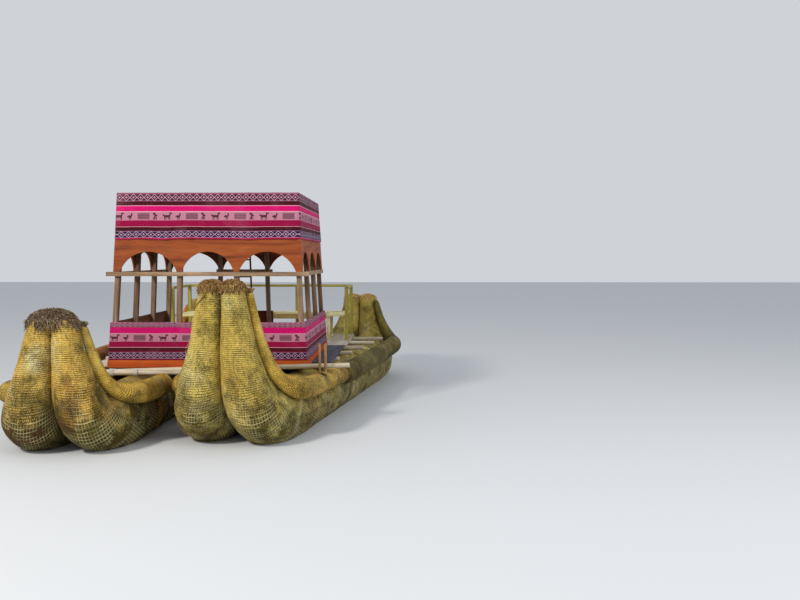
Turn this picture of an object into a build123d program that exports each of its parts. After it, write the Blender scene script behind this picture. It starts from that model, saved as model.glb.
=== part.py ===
from math import cos, radians, sin, sqrt, tan
import os

from build123d import *

# A double hulled reed boat with a cloth hung pavilion and a railed rear deck.
# Millimetres. X is starboard, Y runs from the bow to the stern, Z is up, and the
# undersides of the reed bundles lie at Z = 0.

# Reed bundles
bundle_radius = 400.0
bundle_squeeze = 15.0
bundle_gap = 0.15
tip_radius = 135.0
straight_half = 2450.0
column_reach = 3340.0
run_in = 0.35
gunwale_radius = 140.0
side_gunwale_radius = 155.0
gunwale_tip_radius = 62.0
bend_clearance = 5.0
bow_gunwale_lift = 38.0
cap_height = 90.0
cap_flare = 12.0
cap_foot_step = 1.0
cap_shoulder = 0.55
cap_shoulder_flare = 0.4
cap_crown = 0.62
seat_gap = 0.3

# Deck
pole_radius = 35.0
plank_thickness = 28.0
plank_gap = 6.0
front_pole_gap = 12.0
last_pole_inset = 279.0
level_pole_ahead_port = 215.0
level_pole_ahead_starboard = 82.0
side_plank_width = 265.0
stern_clearance = 461.0
rear_deck_port = 1500.0
rear_deck_starboard = 1640.0
rear_deck_boards = 10

# Pavilion
pavilion_y = -740.0
half_width = 1309.0
half_length = 1233.0
splay = 0.052
post_size = 65.0
post_share = 0.3137
side_post_share = 0.333
wall_thickness = 20.0
base_board_height = 98.0
base_board_thickness = 30.0
parapet_height = 570.0
arch_foot_height = 1245.0
arch_rise = 270.0
arch_cut_below = 40.0
mid_rail_height = 57.0
mid_rail_thickness = 35.0
mid_rail_overhang = 75.0
roof_frame_height = 2212.0
roof_frame_depth = 60.0
roof_board_thickness = 22.0
roof_boards_across = 8
roof_edge_step = 2.0
valance_foot_height = 1680.0
valance_flare = 8.0
cloth_thickness = 12.0
cloth_lip = 150.0
cloth_foot_gap = 4.0

# Ladder
ladder_width = 200.0
ladder_rod = 15.0
ladder_rungs = 7
ladder_pitch = 280.0
ladder_stand_off = 240.0
ladder_x = -30.0
ladder_clearance = 12.0
ladder_head_room = 60.0
hook_radius = 55.0
hook_turn = 170.0
rung_share = 0.8

# Rear deck fittings
railing_start = 1310.0
railing_inset = 99.0
railing_side_bay = 1010.0
railing_port = 1440.0
railing_starboard = 1590.0
railing_height = 935.0
railing_post = 60.0
railing_bar = 45.0
bench_height = 440.0
bench_depth = 330.0
bench_seat_thickness = 30.0
bench_leg = 50.0
bench_front_leg_inset = 40.0
bench_back_leg_inset = 20.0
bench_apron = 90.0
bench_apron_thickness = 20.0
bench_apron_gap = 4.0
bench_apron_end_gap = 10.0

# Thole stakes
stake_radius = 17.0
stake_tenon_radius = 15.0
stake_length = 340.0
stake_sink = 120.0
stake_pitch = 75.0
stake_ahead = 95.0

pole_bottom = 2 * bundle_radius + seat_gap
pole_top = pole_bottom + 2 * pole_radius
deck_top = pole_top + plank_thickness
bundle_offset = bundle_radius - bundle_squeeze
seam_angle = 45.0
rod_half = straight_half - run_in * (column_reach - straight_half)

# Each hull: the side it lies on, where its centre line crosses Y = 0, how far it is set
# back, its toe out in degrees, the height of its two tips, its side gunwale's lift and
# how far ahead of the front pole its inner bow gunwale is cut off.
# side, centre_x, centre_y, toe_out, bow_top, stern_top, side_lift, inner_cut
hulls = [
    ("port", -1270.0, -400.0, 0.0, 1645.0, 1480.0, 50.0, 330.0),
    ("starboard", 1125.0, -50.0, 10.2, 2012.0, 1560.0, 35.0, 575.0),
]

# Sections of a prow, from the straight body to the tip: how far along the reach and up
# the rise each centre lies, how much of the swelling is left, and the path's lean.
# along, up, girth, lean
bow_sections = [
    (-run_in, 0.000, 1.00, 0.0),
    (0.00, 0.000, 1.00, 0.0),
    (0.34, 0.012, 0.98, 8.0),
    (0.64, 0.058, 0.90, 24.0),
    (0.83, 0.130, 0.79, 43.0),
    (0.94, 0.235, 0.63, 67.0),
    (1.00, 0.400, 0.43, 83.0),
    (1.01, 0.660, 0.20, 89.0),
    (1.00, 1.000, 0.00, 90.0),
]
stern_sections = [
    (-run_in, 0.000, 1.00, 0.0),
    (0.00, 0.000, 1.00, 0.0),
    (0.30, 0.022, 0.96, 16.0),
    (0.58, 0.096, 0.86, 36.0),
    (0.78, 0.220, 0.73, 54.0),
    (0.91, 0.410, 0.53, 70.0),
    (0.97, 0.640, 0.30, 80.0),
    (1.00, 1.000, 0.08, 86.0),
]

os.makedirs("parts", exist_ok=True)
made = {}


def finish(piece, name):
    piece.part.label = name
    made[name] = piece.part


def stations(sections, end, top):
    # Where each section of one end lies: y, z, radius and the path's direction there.
    rows = []
    for along, up, girth, lean in sections:
        y = end * (straight_half + along * (column_reach - straight_half))
        z = bundle_radius + up * (top - bundle_radius)
        radius = tip_radius + girth * (bundle_radius - tip_radius)
        rows.append((y, z, radius, end * cos(radians(lean)), sin(radians(lean))))
    return rows


def section_plane(y, z, run, rise, across=0.0, over=0.0):
    # A plane square to the path; across is sideways and over is to the inside of the bend.
    end = 1 if run >= 0 else -1
    origin = (across, y - end * over * rise, z + over * abs(run))
    return Plane(origin=origin, x_dir=(1, 0, 0), z_dir=(0, run, rise))


def round_section(plane, radius):
    # Two half circles whose seams stay in line from section to section.
    with BuildSketch(plane) as ring:
        with BuildLine():
            CenterArc((0, 0), radius, seam_angle, 180)
            CenterArc((0, 0), radius, seam_angle + 180, 180)
        make_face()
    return ring.sketch


def bundle_end(side, sections, end, top):
    rings = []
    for y, z, radius, run, rise in stations(sections, end, top):
        offset = side * (radius * bundle_offset / bundle_radius)
        rings.append(round_section(section_plane(y, z, run, rise, offset), radius))
    loft(rings, ruled=True)


def gunwale_end(side, sections, end, top, body_radius, lift):
    rings = []
    for y, z, radius, run, rise in stations(sections, end, top):
        share = (radius - tip_radius) / (bundle_radius - tip_radius)
        own = gunwale_tip_radius + share * (body_radius - gunwale_tip_radius)
        reach = radius + own + seat_gap + bend_clearance * min(1, rise / sin(radians(14)))
        across = radius * bundle_offset / bundle_radius + reach * cos(radians(lift))
        over = reach * sin(radians(lift))
        rings.append(round_section(section_plane(y, z, run, rise, side * across, over), own))
    loft(rings, ruled=True)


def straight_rod(x, z, radius, start, stop):
    with BuildSketch(Plane(origin=(x, start, z), x_dir=(1, 0, 0), z_dir=(0, 1, 0))) as ring:
        Circle(radius)
    extrude(ring.sketch, amount=stop - start)


def lean_at(height):
    # How far the leaning walls have come in at a height above the deck.
    return splay * height


def wall(side, low, high, inner, outer, trim=0.0, half_span=None):
    # A leaning board wall between two heights above the deck, lofted from the strip it
    # covers at its foot to the strip at its head. Front and rear walls cover the corners.
    strips = []
    for height in (low, high):
        wide = half_width - lean_at(height)
        deep = half_length - lean_at(height)
        if side in ("front", "rear"):
            sign = -1 if side == "front" else 1
            span = half_span if half_span else wide + outer - trim
            x_low, x_high = -span, span
            y_low, y_high = sorted((sign * (deep + inner), sign * (deep + outer)))
        else:
            sign = -1 if side == "port" else 1
            y_low, y_high = -deep - inner + trim, deep + inner - trim
            x_low, x_high = sorted((sign * (wide + inner), sign * (wide + outer)))
        with BuildSketch(Plane.XY.offset(deck_top + height)) as strip:
            with Locations(((x_low + x_high) / 2, pavilion_y + (y_low + y_high) / 2)):
                Rectangle(x_high - x_low, y_high - y_low)
        strips.append(strip.sketch)
    loft(strips, ruled=True)


def leaning_post(x_share, y_share, low, high):
    ends = []
    for height in (low, high):
        x = x_share * (half_width - lean_at(height) - post_size / 2)
        y = y_share * (half_length - lean_at(height) - post_size / 2)
        with BuildSketch(Plane.XY.offset(deck_top + height)) as end:
            with Locations((x, pavilion_y + y)):
                Rectangle(post_size, post_size)
        ends.append(end.sketch)
    loft(ends, ruled=True)


def block(x_low, x_high, y_low, y_high, z_low, z_high):
    with BuildSketch(Plane.XY.offset(z_low)) as outline:
        with Locations(((x_low + x_high) / 2, (y_low + y_high) / 2)):
            Rectangle(x_high - x_low, y_high - y_low)
    extrude(outline.sketch, amount=z_high - z_low)


def hull_line(hull, y, from_centre):
    # The X of a line that runs beside a hull's centre line, at a place along the boat.
    toe = radians(hull[3])
    return hull[1] + y * tan(toe) + from_centre / cos(toe)


def gunwale_place(radius, lift):
    reach = bundle_radius + radius + seat_gap
    return bundle_offset + reach * cos(radians(lift)), bundle_radius + reach * sin(radians(lift))


# The front poles lie between the bow and the side gunwales.
front_pole_y = pavilion_y - half_length - base_board_thickness - pole_radius - front_pole_gap
outer_bow_end = -1200.0
side_gunwale_gap = 40.0

# Hull bundles, gunwales and frayed caps
for side_name, centre_x, centre_y, toe_out, bow_top, stern_top, side_lift, inner_cut in hulls:
    outboard = -1 if side_name == "port" else 1
    placed = Location((centre_x + centre_y * tan(radians(toe_out)), centre_y, 0), (0, 0, -toe_out))
    for place, side in (("outer", outboard), ("inner", -outboard)):
        with BuildPart() as bundle:
            straight_rod(side * bundle_offset, bundle_radius, bundle_radius, -rod_half, rod_half)
            bundle_end(side, bow_sections, -1, bow_top)
            bundle_end(side, stern_sections, 1, stern_top)
            split(bisect_by=Plane.YZ.offset(side * bundle_gap), keep=Keep.TOP if side > 0 else Keep.BOTTOM)
        with BuildPart() as bundle_placed:
            add(bundle.part.moved(placed))
        finish(bundle_placed, f"{side_name}_{place}_bundle")

    across, height = gunwale_place(gunwale_radius, bow_gunwale_lift)
    for place, side in (("outer", outboard), ("inner", -outboard)):
        end_y = outer_bow_end if place == "outer" else front_pole_y - inner_cut
        with BuildPart() as bow_gunwale:
            gunwale_end(side, bow_sections, -1, bow_top, gunwale_radius, bow_gunwale_lift)
            if end_y - centre_y > -rod_half:
                straight_rod(side * across, height, gunwale_radius, -rod_half, end_y - centre_y)
            else:
                split(bisect_by=Plane(origin=(0, end_y - centre_y, 0), z_dir=(0, -1, 0)), keep=Keep.TOP)
        with BuildPart() as bow_gunwale_placed:
            add(bow_gunwale.part.moved(placed))
        finish(bow_gunwale_placed, f"{side_name}_{place}_bow_gunwale")

    side_across, side_height = gunwale_place(side_gunwale_radius, side_lift)
    side_start = outer_bow_end + side_gunwale_gap - centre_y
    with BuildPart() as side_gunwale:
        straight_rod(outboard * side_across, side_height, side_gunwale_radius, side_start, rod_half)
        gunwale_end(outboard, stern_sections, 1, stern_top, side_gunwale_radius, side_lift)
    with BuildPart() as side_gunwale_placed:
        add(side_gunwale.part.moved(placed))
    finish(side_gunwale_placed, f"{side_name}_side_gunwale")

    for end_name, sections, end, top in (
        ("bow", bow_sections, -1, bow_top),
        ("stern", stern_sections, 1, stern_top),
    ):
        y, z, radius, run, rise = stations(sections, end, top)[-1]
        with BuildPart() as caps:
            for side in (-1, 1):
                offset = side * radius * bundle_offset / bundle_radius
                start = section_plane(y, z, run, rise, offset).offset(seat_gap)
                with BuildSketch(start):
                    Circle(radius - cap_foot_step)
                with BuildSketch(start.offset(cap_height * cap_shoulder)):
                    Circle(radius + cap_flare * cap_shoulder_flare)
                with BuildSketch(start.offset(cap_height)):
                    Circle(radius * cap_crown)
                loft(ruled=True)
        with BuildPart() as caps_placed:
            add(caps.part.moved(placed))
        finish(caps_placed, f"{side_name}_{end_name}_cap")

# The deck ends ahead of the port stern's tip, and the last pole and the railing keep to its end.
deck_end = hulls[0][2] + column_reach - stern_clearance

# Cross poles lie on the bundles and stop inside the side gunwales.
level_pole_ys = [-1500.0, -760.0, 0.0, 720.0, 1500.0, deck_end - last_pole_inset]
pole_clearance = 30.0


def pole_end(hull, y):
    # A pole stops short of whichever gunwale lies further in at the pole's own height.
    edges = []
    for radius, lift in ((side_gunwale_radius, hull[6]), (gunwale_radius, bow_gunwale_lift)):
        across, height = gunwale_place(radius, lift)
        drop = min(abs(pole_bottom - height), abs(pole_top - height))
        if pole_bottom < height < pole_top:
            drop = 0
        edges.append(across - sqrt(max(radius**2 - drop**2, 0)))
    inner_edge = min(edges)
    outboard = -1 if hull[0] == "port" else 1
    slack = pole_radius * tan(radians(abs(hull[3])))
    return hull_line(hull, y, outboard * inner_edge) - outboard * (pole_clearance + slack)


with BuildPart() as cross_poles:
    for y in level_pole_ys:
        port_end = pole_end(hulls[0], y)
        starboard_end = pole_end(hulls[1], y)
        with BuildSketch(Plane(origin=(port_end, y, pole_bottom + pole_radius), z_dir=(1, 0, 0))):
            Circle(pole_radius)
        extrude(amount=starboard_end - port_end)
finish(cross_poles, "cross_poles")

gunwale_across, gunwale_height = gunwale_place(gunwale_radius, bow_gunwale_lift)
rest_low = (hull_line(hulls[0], front_pole_y, bundle_offset), pole_bottom)
rest_high = (
    hull_line(hulls[1], front_pole_y, gunwale_across),
    gunwale_height + gunwale_radius + seat_gap,
)
pole_slope = (rest_high[1] - rest_low[1]) / (rest_high[0] - rest_low[0])
tilted_pole_port = -1420.0
tilted_pole_starboard = 1900.0
with BuildPart() as tilted_front_pole:
    pole_cos = 1 / sqrt(1 + pole_slope**2)
    middle = pole_radius / pole_cos
    start_z = rest_low[1] + middle + (tilted_pole_port - rest_low[0]) * pole_slope
    along = (1, 0, pole_slope)
    with BuildSketch(Plane(origin=(tilted_pole_port, front_pole_y, start_z), z_dir=along)):
        Circle(pole_radius)
    extrude(amount=(tilted_pole_starboard - tilted_pole_port) / pole_cos)
finish(tilted_front_pole, "tilted_front_pole")

level_pole_start = (-1780.0, front_pole_y - level_pole_ahead_port)
level_pole_stop = (470.0, front_pole_y - level_pole_ahead_starboard)
with BuildPart() as level_front_pole:
    run_x = level_pole_stop[0] - level_pole_start[0]
    run_y = level_pole_stop[1] - level_pole_start[1]
    start = (level_pole_start[0], level_pole_start[1], pole_bottom + pole_radius)
    with BuildSketch(Plane(origin=start, z_dir=(run_x, run_y, 0))):
        Circle(pole_radius)
    extrude(amount=sqrt(run_x**2 + run_y**2))
finish(level_front_pole, "level_front_pole")

# Deck boards
pavilion_front = pavilion_y - half_length
pavilion_rear = pavilion_y + half_length
rear_deck_y = pavilion_rear + base_board_thickness + plank_gap
board_edge = half_width + base_board_thickness + plank_gap
for side_name, sign, plank_start in (("port", -1, 60.0), ("starboard", 1, 420.0)):
    with BuildPart() as side_plank:
        edges = sorted((sign * board_edge, sign * (board_edge + side_plank_width)))
        block(*edges, pavilion_front + plank_start, rear_deck_y - plank_gap, pole_top, deck_top)
    finish(side_plank, f"{side_name}_side_plank")

with BuildPart() as rear_deck:
    pitch = (rear_deck_port + rear_deck_starboard + plank_gap) / rear_deck_boards
    for index in range(rear_deck_boards):
        x = -rear_deck_port + index * pitch
        block(x, x + pitch - plank_gap, rear_deck_y, deck_end, pole_top, deck_top)
finish(rear_deck, "rear_deck")

# Pavilion: floor and base boards
floor_boards = 8
with BuildPart() as pavilion_floor:
    inside = half_width - seat_gap
    pitch = (2 * inside + plank_gap) / floor_boards
    for index in range(floor_boards):
        x = -inside + index * pitch
        block(
            x, x + pitch - plank_gap,
            pavilion_front + seat_gap, pavilion_rear - seat_gap,
            pole_top, deck_top,
        )
finish(pavilion_floor, "pavilion_floor")

base_board_gap = 3.0
base_foot = -plank_thickness
base_head = base_foot + base_board_height
with BuildPart() as base_boards:
    for side in ("front", "rear", "port", "starboard"):
        wall(side, base_foot, base_head, base_board_gap, base_board_thickness, trim=seat_gap)
finish(base_boards, "base_boards")

# Pavilion: posts
corner_shares = [(x, y) for x in (-1, 1) for y in (-1, 1)]
wall_shares = [(x, y) for x in (-post_share, post_share) for y in (-1, 1)]
side_shares = [(x, y) for x in (-1, 1) for y in (-side_post_share, side_post_share)]
for name, shares in (
    ("corner_posts", corner_shares),
    ("end_posts", wall_shares),
    ("side_posts", side_shares),
):
    with BuildPart() as posts:
        for x_share, y_share in shares:
            leaning_post(x_share, y_share, 0, roof_frame_height)
    finish(posts, name)

# The rear rail closes the middle bay only, so that the two doorways stay clear.
with BuildPart() as mid_rails:
    low = arch_foot_height - mid_rail_height
    middle_bay = post_share * (half_width - lean_at(low)) + post_size
    wall("front", low, arch_foot_height, seat_gap, mid_rail_thickness, trim=-mid_rail_overhang)
    wall("rear", low, arch_foot_height, seat_gap, mid_rail_thickness, half_span=middle_bay)
    for side in ("port", "starboard"):
        wall(side, low, arch_foot_height, seat_gap, mid_rail_thickness, trim=seat_gap * 2)
finish(mid_rails, "mid_rails")

# Pavilion: boards pierced by arches, and the low parapet walls
arch_head = roof_frame_height + roof_frame_depth


def post_places(side, height):
    wide = half_width - lean_at(height) - post_size / 2
    deep = half_length - lean_at(height) - post_size / 2
    if side in ("front", "rear"):
        return [-wide, -post_share * wide, post_share * wide, wide]
    return [-deep, -side_post_share * deep, side_post_share * deep, deep]


for side in ("front", "rear", "port", "starboard"):
    lengthwise = side in ("port", "starboard")
    places = post_places(side, arch_foot_height)
    with BuildPart() as arch_panel:
        wall(side, arch_foot_height + seat_gap, arch_head, seat_gap, wall_thickness, trim=seat_gap)
        if lengthwise:
            face = Plane(origin=(0, pavilion_y, deck_top), x_dir=(0, 1, 0), z_dir=(1, 0, 0))
        else:
            face = Plane(origin=(0, pavilion_y, deck_top), x_dir=(1, 0, 0), z_dir=(0, -1, 0))
        with BuildSketch(face):
            for first, last in zip(places, places[1:]):
                foot_a = first + post_size / 2
                foot_b = last - post_size / 2
                with BuildLine():
                    head = ((foot_a + foot_b) / 2, arch_foot_height + arch_rise)
                    arch = ThreePointArc((foot_a, arch_foot_height), head, (foot_b, arch_foot_height))
                    cut_foot = arch_foot_height - arch_cut_below
                    Polyline(arch @ 1, (foot_b, cut_foot), (foot_a, cut_foot), arch @ 0)
                make_face()
        extrude(amount=2 * half_width, both=True, mode=Mode.SUBTRACT)
    finish(arch_panel, f"{side}_arch_panel")

parapet_foot = base_head + seat_gap
for side in ("front", "port", "starboard", "rear"):
    with BuildPart() as parapet:
        span = None
        if side == "rear":
            span = post_places("rear", parapet_height)[2] + post_size
        wall(side, parapet_foot, parapet_height, seat_gap, wall_thickness, trim=seat_gap, half_span=span)
    finish(parapet, f"{side}_parapet")

cloth_inner = wall_thickness + seat_gap
cloth_outer = cloth_inner + cloth_thickness
cloth_foot = base_head + cloth_foot_gap
with BuildPart() as parapet_cloth:
    for side in ("front", "port", "starboard"):
        wall(side, cloth_foot, parapet_height, cloth_inner, cloth_outer)
finish(parapet_cloth, "parapet_cloth")

# Pavilion: roof
with BuildPart() as roof_frame:
    outer_x = half_width - lean_at(arch_head)
    outer_y = half_length - lean_at(arch_head)
    with BuildSketch(Plane.XY.offset(deck_top + roof_frame_height)):
        with Locations((0, pavilion_y)):
            Rectangle(2 * outer_x, 2 * outer_y)
            Rectangle(2 * (outer_x - post_size), 2 * (outer_y - post_size), mode=Mode.SUBTRACT)
            for share in (-post_share, post_share):
                with Locations((share * outer_x, 0)):
                    Rectangle(post_size, 2 * outer_y)
    extrude(amount=roof_frame_depth)
finish(roof_frame, "roof_frame")

roof_low = deck_top + arch_head
roof_high = roof_low + roof_board_thickness
roof_x = outer_x + wall_thickness - roof_edge_step
roof_y = outer_y + wall_thickness - roof_edge_step
with BuildPart() as roof_boards:
    pitch = (2 * roof_y + plank_gap) / roof_boards_across
    for index in range(roof_boards_across):
        y = pavilion_y - roof_y + index * pitch
        block(-roof_x, roof_x, y, y + pitch - plank_gap, roof_low, roof_high)
finish(roof_boards, "roof_boards")

with BuildPart() as valance_cloth:
    head = arch_head + roof_board_thickness + cloth_thickness
    hollow_head = arch_head + roof_board_thickness + seat_gap
    for height, extra in ((valance_foot_height, valance_flare), (head, 0.0)):
        with BuildSketch(Plane.XY.offset(deck_top + height)):
            with Locations((0, pavilion_y)):
                Rectangle(
                    2 * (half_width - lean_at(height) + cloth_outer + extra),
                    2 * (half_length - lean_at(height) + cloth_outer + extra),
                )
    loft(ruled=True)
    for height, extra in ((valance_foot_height, valance_flare), (hollow_head, 0.0)):
        with BuildSketch(Plane.XY.offset(deck_top + height), mode=Mode.PRIVATE) as hollow:
            with Locations((0, pavilion_y)):
                Rectangle(
                    2 * (half_width - lean_at(height) + cloth_inner + extra),
                    2 * (half_length - lean_at(height) + cloth_inner + extra),
                )
        add(hollow.sketch)
    loft(ruled=True, mode=Mode.SUBTRACT)
    with BuildSketch(Plane.XY.offset(roof_high - 1)):
        with Locations((0, pavilion_y)):
            Rectangle(2 * (roof_x - cloth_lip), 2 * (roof_y - cloth_lip))
    extrude(amount=3 * cloth_thickness, mode=Mode.SUBTRACT)
finish(valance_cloth, "valance_cloth")

# Ladder behind the pavilion, standing on the rear deck and hooked over the roof's edge
with BuildPart() as ladder:
    foot_y = rear_deck_y + ladder_stand_off
    head_y = pavilion_y + roof_y + cloth_thickness + ladder_clearance + ladder_rod
    head_z = roof_high + ladder_head_room
    rise = head_z - deck_top
    stile_length = sqrt(rise**2 + (foot_y - head_y) ** 2)
    stile_way = ((head_y - foot_y) / stile_length, rise / stile_length)
    for sign in (-1, 1):
        x = ladder_x + sign * ladder_width / 2
        below = 2 * ladder_rod
        low = (x, foot_y - below * stile_way[0], deck_top - below * stile_way[1])
        with BuildSketch(Plane(origin=low, x_dir=(1, 0, 0), z_dir=(0, *stile_way))) as foot:
            Circle(ladder_rod)
        extrude(foot.sketch, amount=stile_length + below)
        with BuildSketch(Plane(origin=(x, head_y, head_z), x_dir=(1, 0, 0), z_dir=(0, *stile_way))) as head:
            Circle(ladder_rod)
        centre = (x, head_y - hook_radius * stile_way[1], head_z + hook_radius * stile_way[0])
        revolve(head.sketch, axis=Axis(centre, (1, 0, 0)), revolution_arc=hook_turn)
    for index in range(ladder_rungs):
        z = deck_top + ladder_pitch * (index + 1)
        y = foot_y + (head_y - foot_y) * (z - deck_top) / rise
        with BuildSketch(Plane(origin=(ladder_x - ladder_width / 2, y, z), z_dir=(1, 0, 0))) as rung:
            Circle(ladder_rod * rung_share)
        extrude(rung.sketch, amount=ladder_width)
    split(bisect_by=Plane.XY.offset(deck_top), keep=Keep.TOP)
finish(ladder, "ladder")

# Rear deck: railing and benches
post_low = deck_top
post_high = deck_top + railing_height - railing_bar
rail_y = (railing_start, deck_end - railing_inset)
half_post = railing_post / 2
back_xs = [
    -railing_port, -railing_port + railing_side_bay,
    railing_starboard - railing_side_bay, railing_starboard,
]
with BuildPart() as railing_posts:
    front_places = [(x, rail_y[0]) for x in (-railing_port, railing_starboard)]
    for x, y in front_places + [(x, rail_y[1]) for x in back_xs]:
        block(x - half_post, x + half_post, y - half_post, y + half_post, post_low, post_high)
finish(railing_posts, "railing_posts")

with BuildPart() as railing_bars:
    low, high = post_high, post_high + railing_bar
    for x in (-railing_port, railing_starboard):
        block(x - half_post, x + half_post, rail_y[0] - half_post, rail_y[1] + half_post, low, high)
    block(
        -railing_port - half_post, railing_starboard + half_post,
        rail_y[1] - half_post, rail_y[1] + half_post, low, high,
    )
finish(railing_bars, "railing_bars")

seat_low = deck_top + bench_height - bench_seat_thickness
seat_high = deck_top + bench_height
back_edge = rail_y[1] - half_post - seat_gap
side_edges = (-railing_port + half_post + seat_gap, railing_starboard - half_post - seat_gap)
with BuildPart() as bench_seats:
    block(side_edges[0], side_edges[1], back_edge - bench_depth, back_edge, seat_low, seat_high)
    block(
        side_edges[0], side_edges[0] + bench_depth,
        rail_y[0] + half_post, back_edge - bench_depth, seat_low, seat_high,
    )
    block(
        side_edges[1] - bench_depth, side_edges[1],
        rail_y[0] + half_post, back_edge - bench_depth, seat_low, seat_high,
    )
finish(bench_seats, "bench_seats")

front_edge = back_edge - bench_depth
with BuildPart() as bench_legs:
    for inner, sign in ((side_edges[0] + bench_depth, -1), (side_edges[1] - bench_depth, 1)):
        for y in (rail_y[0] + half_post + bench_front_leg_inset, front_edge):
            edges = sorted((inner, inner + sign * bench_leg))
            block(*edges, y, y + bench_leg, deck_top, seat_low)
    for x in (side_edges[0] + bench_leg, (side_edges[0] + side_edges[1]) / 2, side_edges[1] - 2 * bench_leg):
        leg_back = back_edge - bench_back_leg_inset
        block(x, x + bench_leg, leg_back - bench_leg, leg_back, deck_top, seat_low)
finish(bench_legs, "bench_legs")

with BuildPart() as bench_apron_board:
    left = side_edges[0] + bench_depth + bench_apron_end_gap
    right = side_edges[1] - bench_depth - bench_apron_end_gap
    face = front_edge + bench_apron_gap
    block(left, right, face, face + bench_apron_thickness, seat_low - bench_apron, seat_low)
finish(bench_apron_board, "bench_apron")

# Thole stakes, each with a thinner foot driven into the starboard bow gunwale
stake_y = front_pole_y - pole_radius - stake_ahead
stake_foot_z = gunwale_height + gunwale_radius + seat_gap
stake_centre = hull_line(hulls[1], stake_y, gunwale_across)
stake_places = [(stake_centre - stake_pitch / 2, stake_y), (stake_centre + stake_pitch / 2, stake_y)]
with BuildPart() as thole_stakes:
    for place in stake_places:
        for radius, foot, length in (
            (stake_tenon_radius, stake_foot_z - stake_sink, stake_sink),
            (stake_radius, stake_foot_z, stake_length),
        ):
            with BuildSketch(Plane.XY.offset(foot)):
                with Locations(place):
                    Circle(radius)
            extrude(amount=length)
finish(thole_stakes, "thole_stakes")

with BuildPart() as bored_gunwale:
    add(made["starboard_outer_bow_gunwale"])
    with BuildSketch(Plane.XY.offset(stake_foot_z - stake_sink - seat_gap)):
        with Locations(*stake_places):
            Circle(stake_tenon_radius + seat_gap)
    extrude(amount=stake_sink * 2, mode=Mode.SUBTRACT)
finish(bored_gunwale, "starboard_outer_bow_gunwale")

# The origin is the middle of the whole boat, under its bundles.
whole = Compound(children=[part.moved(Location((0, 0, 0))) for part in made.values()]).bounding_box()
home = Location((-whole.center().X, -whole.center().Y, -whole.min.Z))
for name, part in made.items():
    stored = part.moved(home)
    stored.label = name
    export_step(stored, f"parts/{name}.step")
print("moved home by", home.position, "size", whole.size)
print("stakes at", stake_places, stake_foot_z)
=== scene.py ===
# The looks of the reed boat: tied reed hulls, striped cloths, worn wood and paint.
import math

import bpy
import numpy as np
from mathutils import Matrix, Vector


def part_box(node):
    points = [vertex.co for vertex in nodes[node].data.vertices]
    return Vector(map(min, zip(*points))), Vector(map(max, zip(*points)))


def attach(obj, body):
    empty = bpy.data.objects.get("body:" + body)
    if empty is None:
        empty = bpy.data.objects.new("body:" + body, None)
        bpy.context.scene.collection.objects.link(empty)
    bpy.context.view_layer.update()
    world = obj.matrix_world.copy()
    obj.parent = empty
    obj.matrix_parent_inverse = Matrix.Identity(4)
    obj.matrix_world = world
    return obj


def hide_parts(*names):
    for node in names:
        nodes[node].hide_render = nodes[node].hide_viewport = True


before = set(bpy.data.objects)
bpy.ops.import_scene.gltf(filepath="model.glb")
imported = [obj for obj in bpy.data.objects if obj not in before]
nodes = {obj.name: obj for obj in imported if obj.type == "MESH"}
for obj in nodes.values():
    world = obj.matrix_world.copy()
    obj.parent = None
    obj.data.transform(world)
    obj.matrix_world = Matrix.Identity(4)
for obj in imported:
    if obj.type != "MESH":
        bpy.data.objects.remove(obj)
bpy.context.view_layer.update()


pavilion = {  # the part's own places in metres; splay is how far its walls lean in per metre of height
    "boardFoot": 0.8703, "deckTop": 0.8983, "middleY": -0.740,
    "halfWidth": 1.309, "halfLength": 1.233, "splay": 0.052,
}
low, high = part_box("base_boards")
home = np.array([
    (low.x + high.x) / 2, (low.y + high.y) / 2 - pavilion["middleY"], low.z - pavilion["boardFoot"],
])
print("frame loaded, home shift", home.round(4).tolist())


def srgb(*levels):
    # A screen colour of 0 to 255 as linear light: a straight line near black, a power above it.
    shares = np.array(levels) / 255
    light = np.where(shares <= 0.04045, shares / 12.92, ((shares + 0.055) / 1.055) ** 2.4)
    return (*light.tolist(), 1.0)


# Material helpers. Each adds nodes to a tree and returns the socket that holds the result.
def newMaterial(name, roughness=0.8, specular=0.3):
    # A material, its nodes and its shader, with the two values that are the same all over it.
    material = bpy.data.materials.new(name)
    material.use_nodes = True
    tree = material.node_tree
    shader = tree.nodes["Principled BSDF"]
    shader.inputs["Roughness"].default_value = roughness
    shader.inputs["Specular IOR Level"].default_value = specular
    return material, tree, shader


def feed(tree, socket, value):
    # Links a socket to another, or sets it to a number or colour.
    if isinstance(value, bpy.types.NodeSocket):
        tree.links.new(value, socket)
    else:
        socket.default_value = value


def calc(tree, operation, first, second=None, third=None, clamp=False):
    # One sum, product or other operation on up to three values.
    node = tree.nodes.new("ShaderNodeMath")
    node.operation = operation
    node.use_clamp = clamp
    for socket, value in zip(node.inputs, (first, second, third)):
        if value is not None:
            feed(tree, socket, value)
    return node.outputs[0]


def fromHalf(tree, value):
    # How far a value lies from a half, either way.
    return calc(tree, "ABSOLUTE", calc(tree, "SUBTRACT", value, 0.5))


def between(tree, value, start, stop):
    # A value as a share of the way between two others.
    return calc(tree, "DIVIDE", calc(tree, "SUBTRACT", value, start), stop - start)


def mixColour(tree, share, first, second, blend="MIX"):
    # The first colour times one less the share, plus the second times the share.
    node = tree.nodes.new("ShaderNodeMix")
    node.data_type = "RGBA"
    node.blend_type = blend
    feed(tree, node.inputs[0], share)
    feed(tree, node.inputs[6], first)
    feed(tree, node.inputs[7], second)
    return node.outputs[2]


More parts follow.
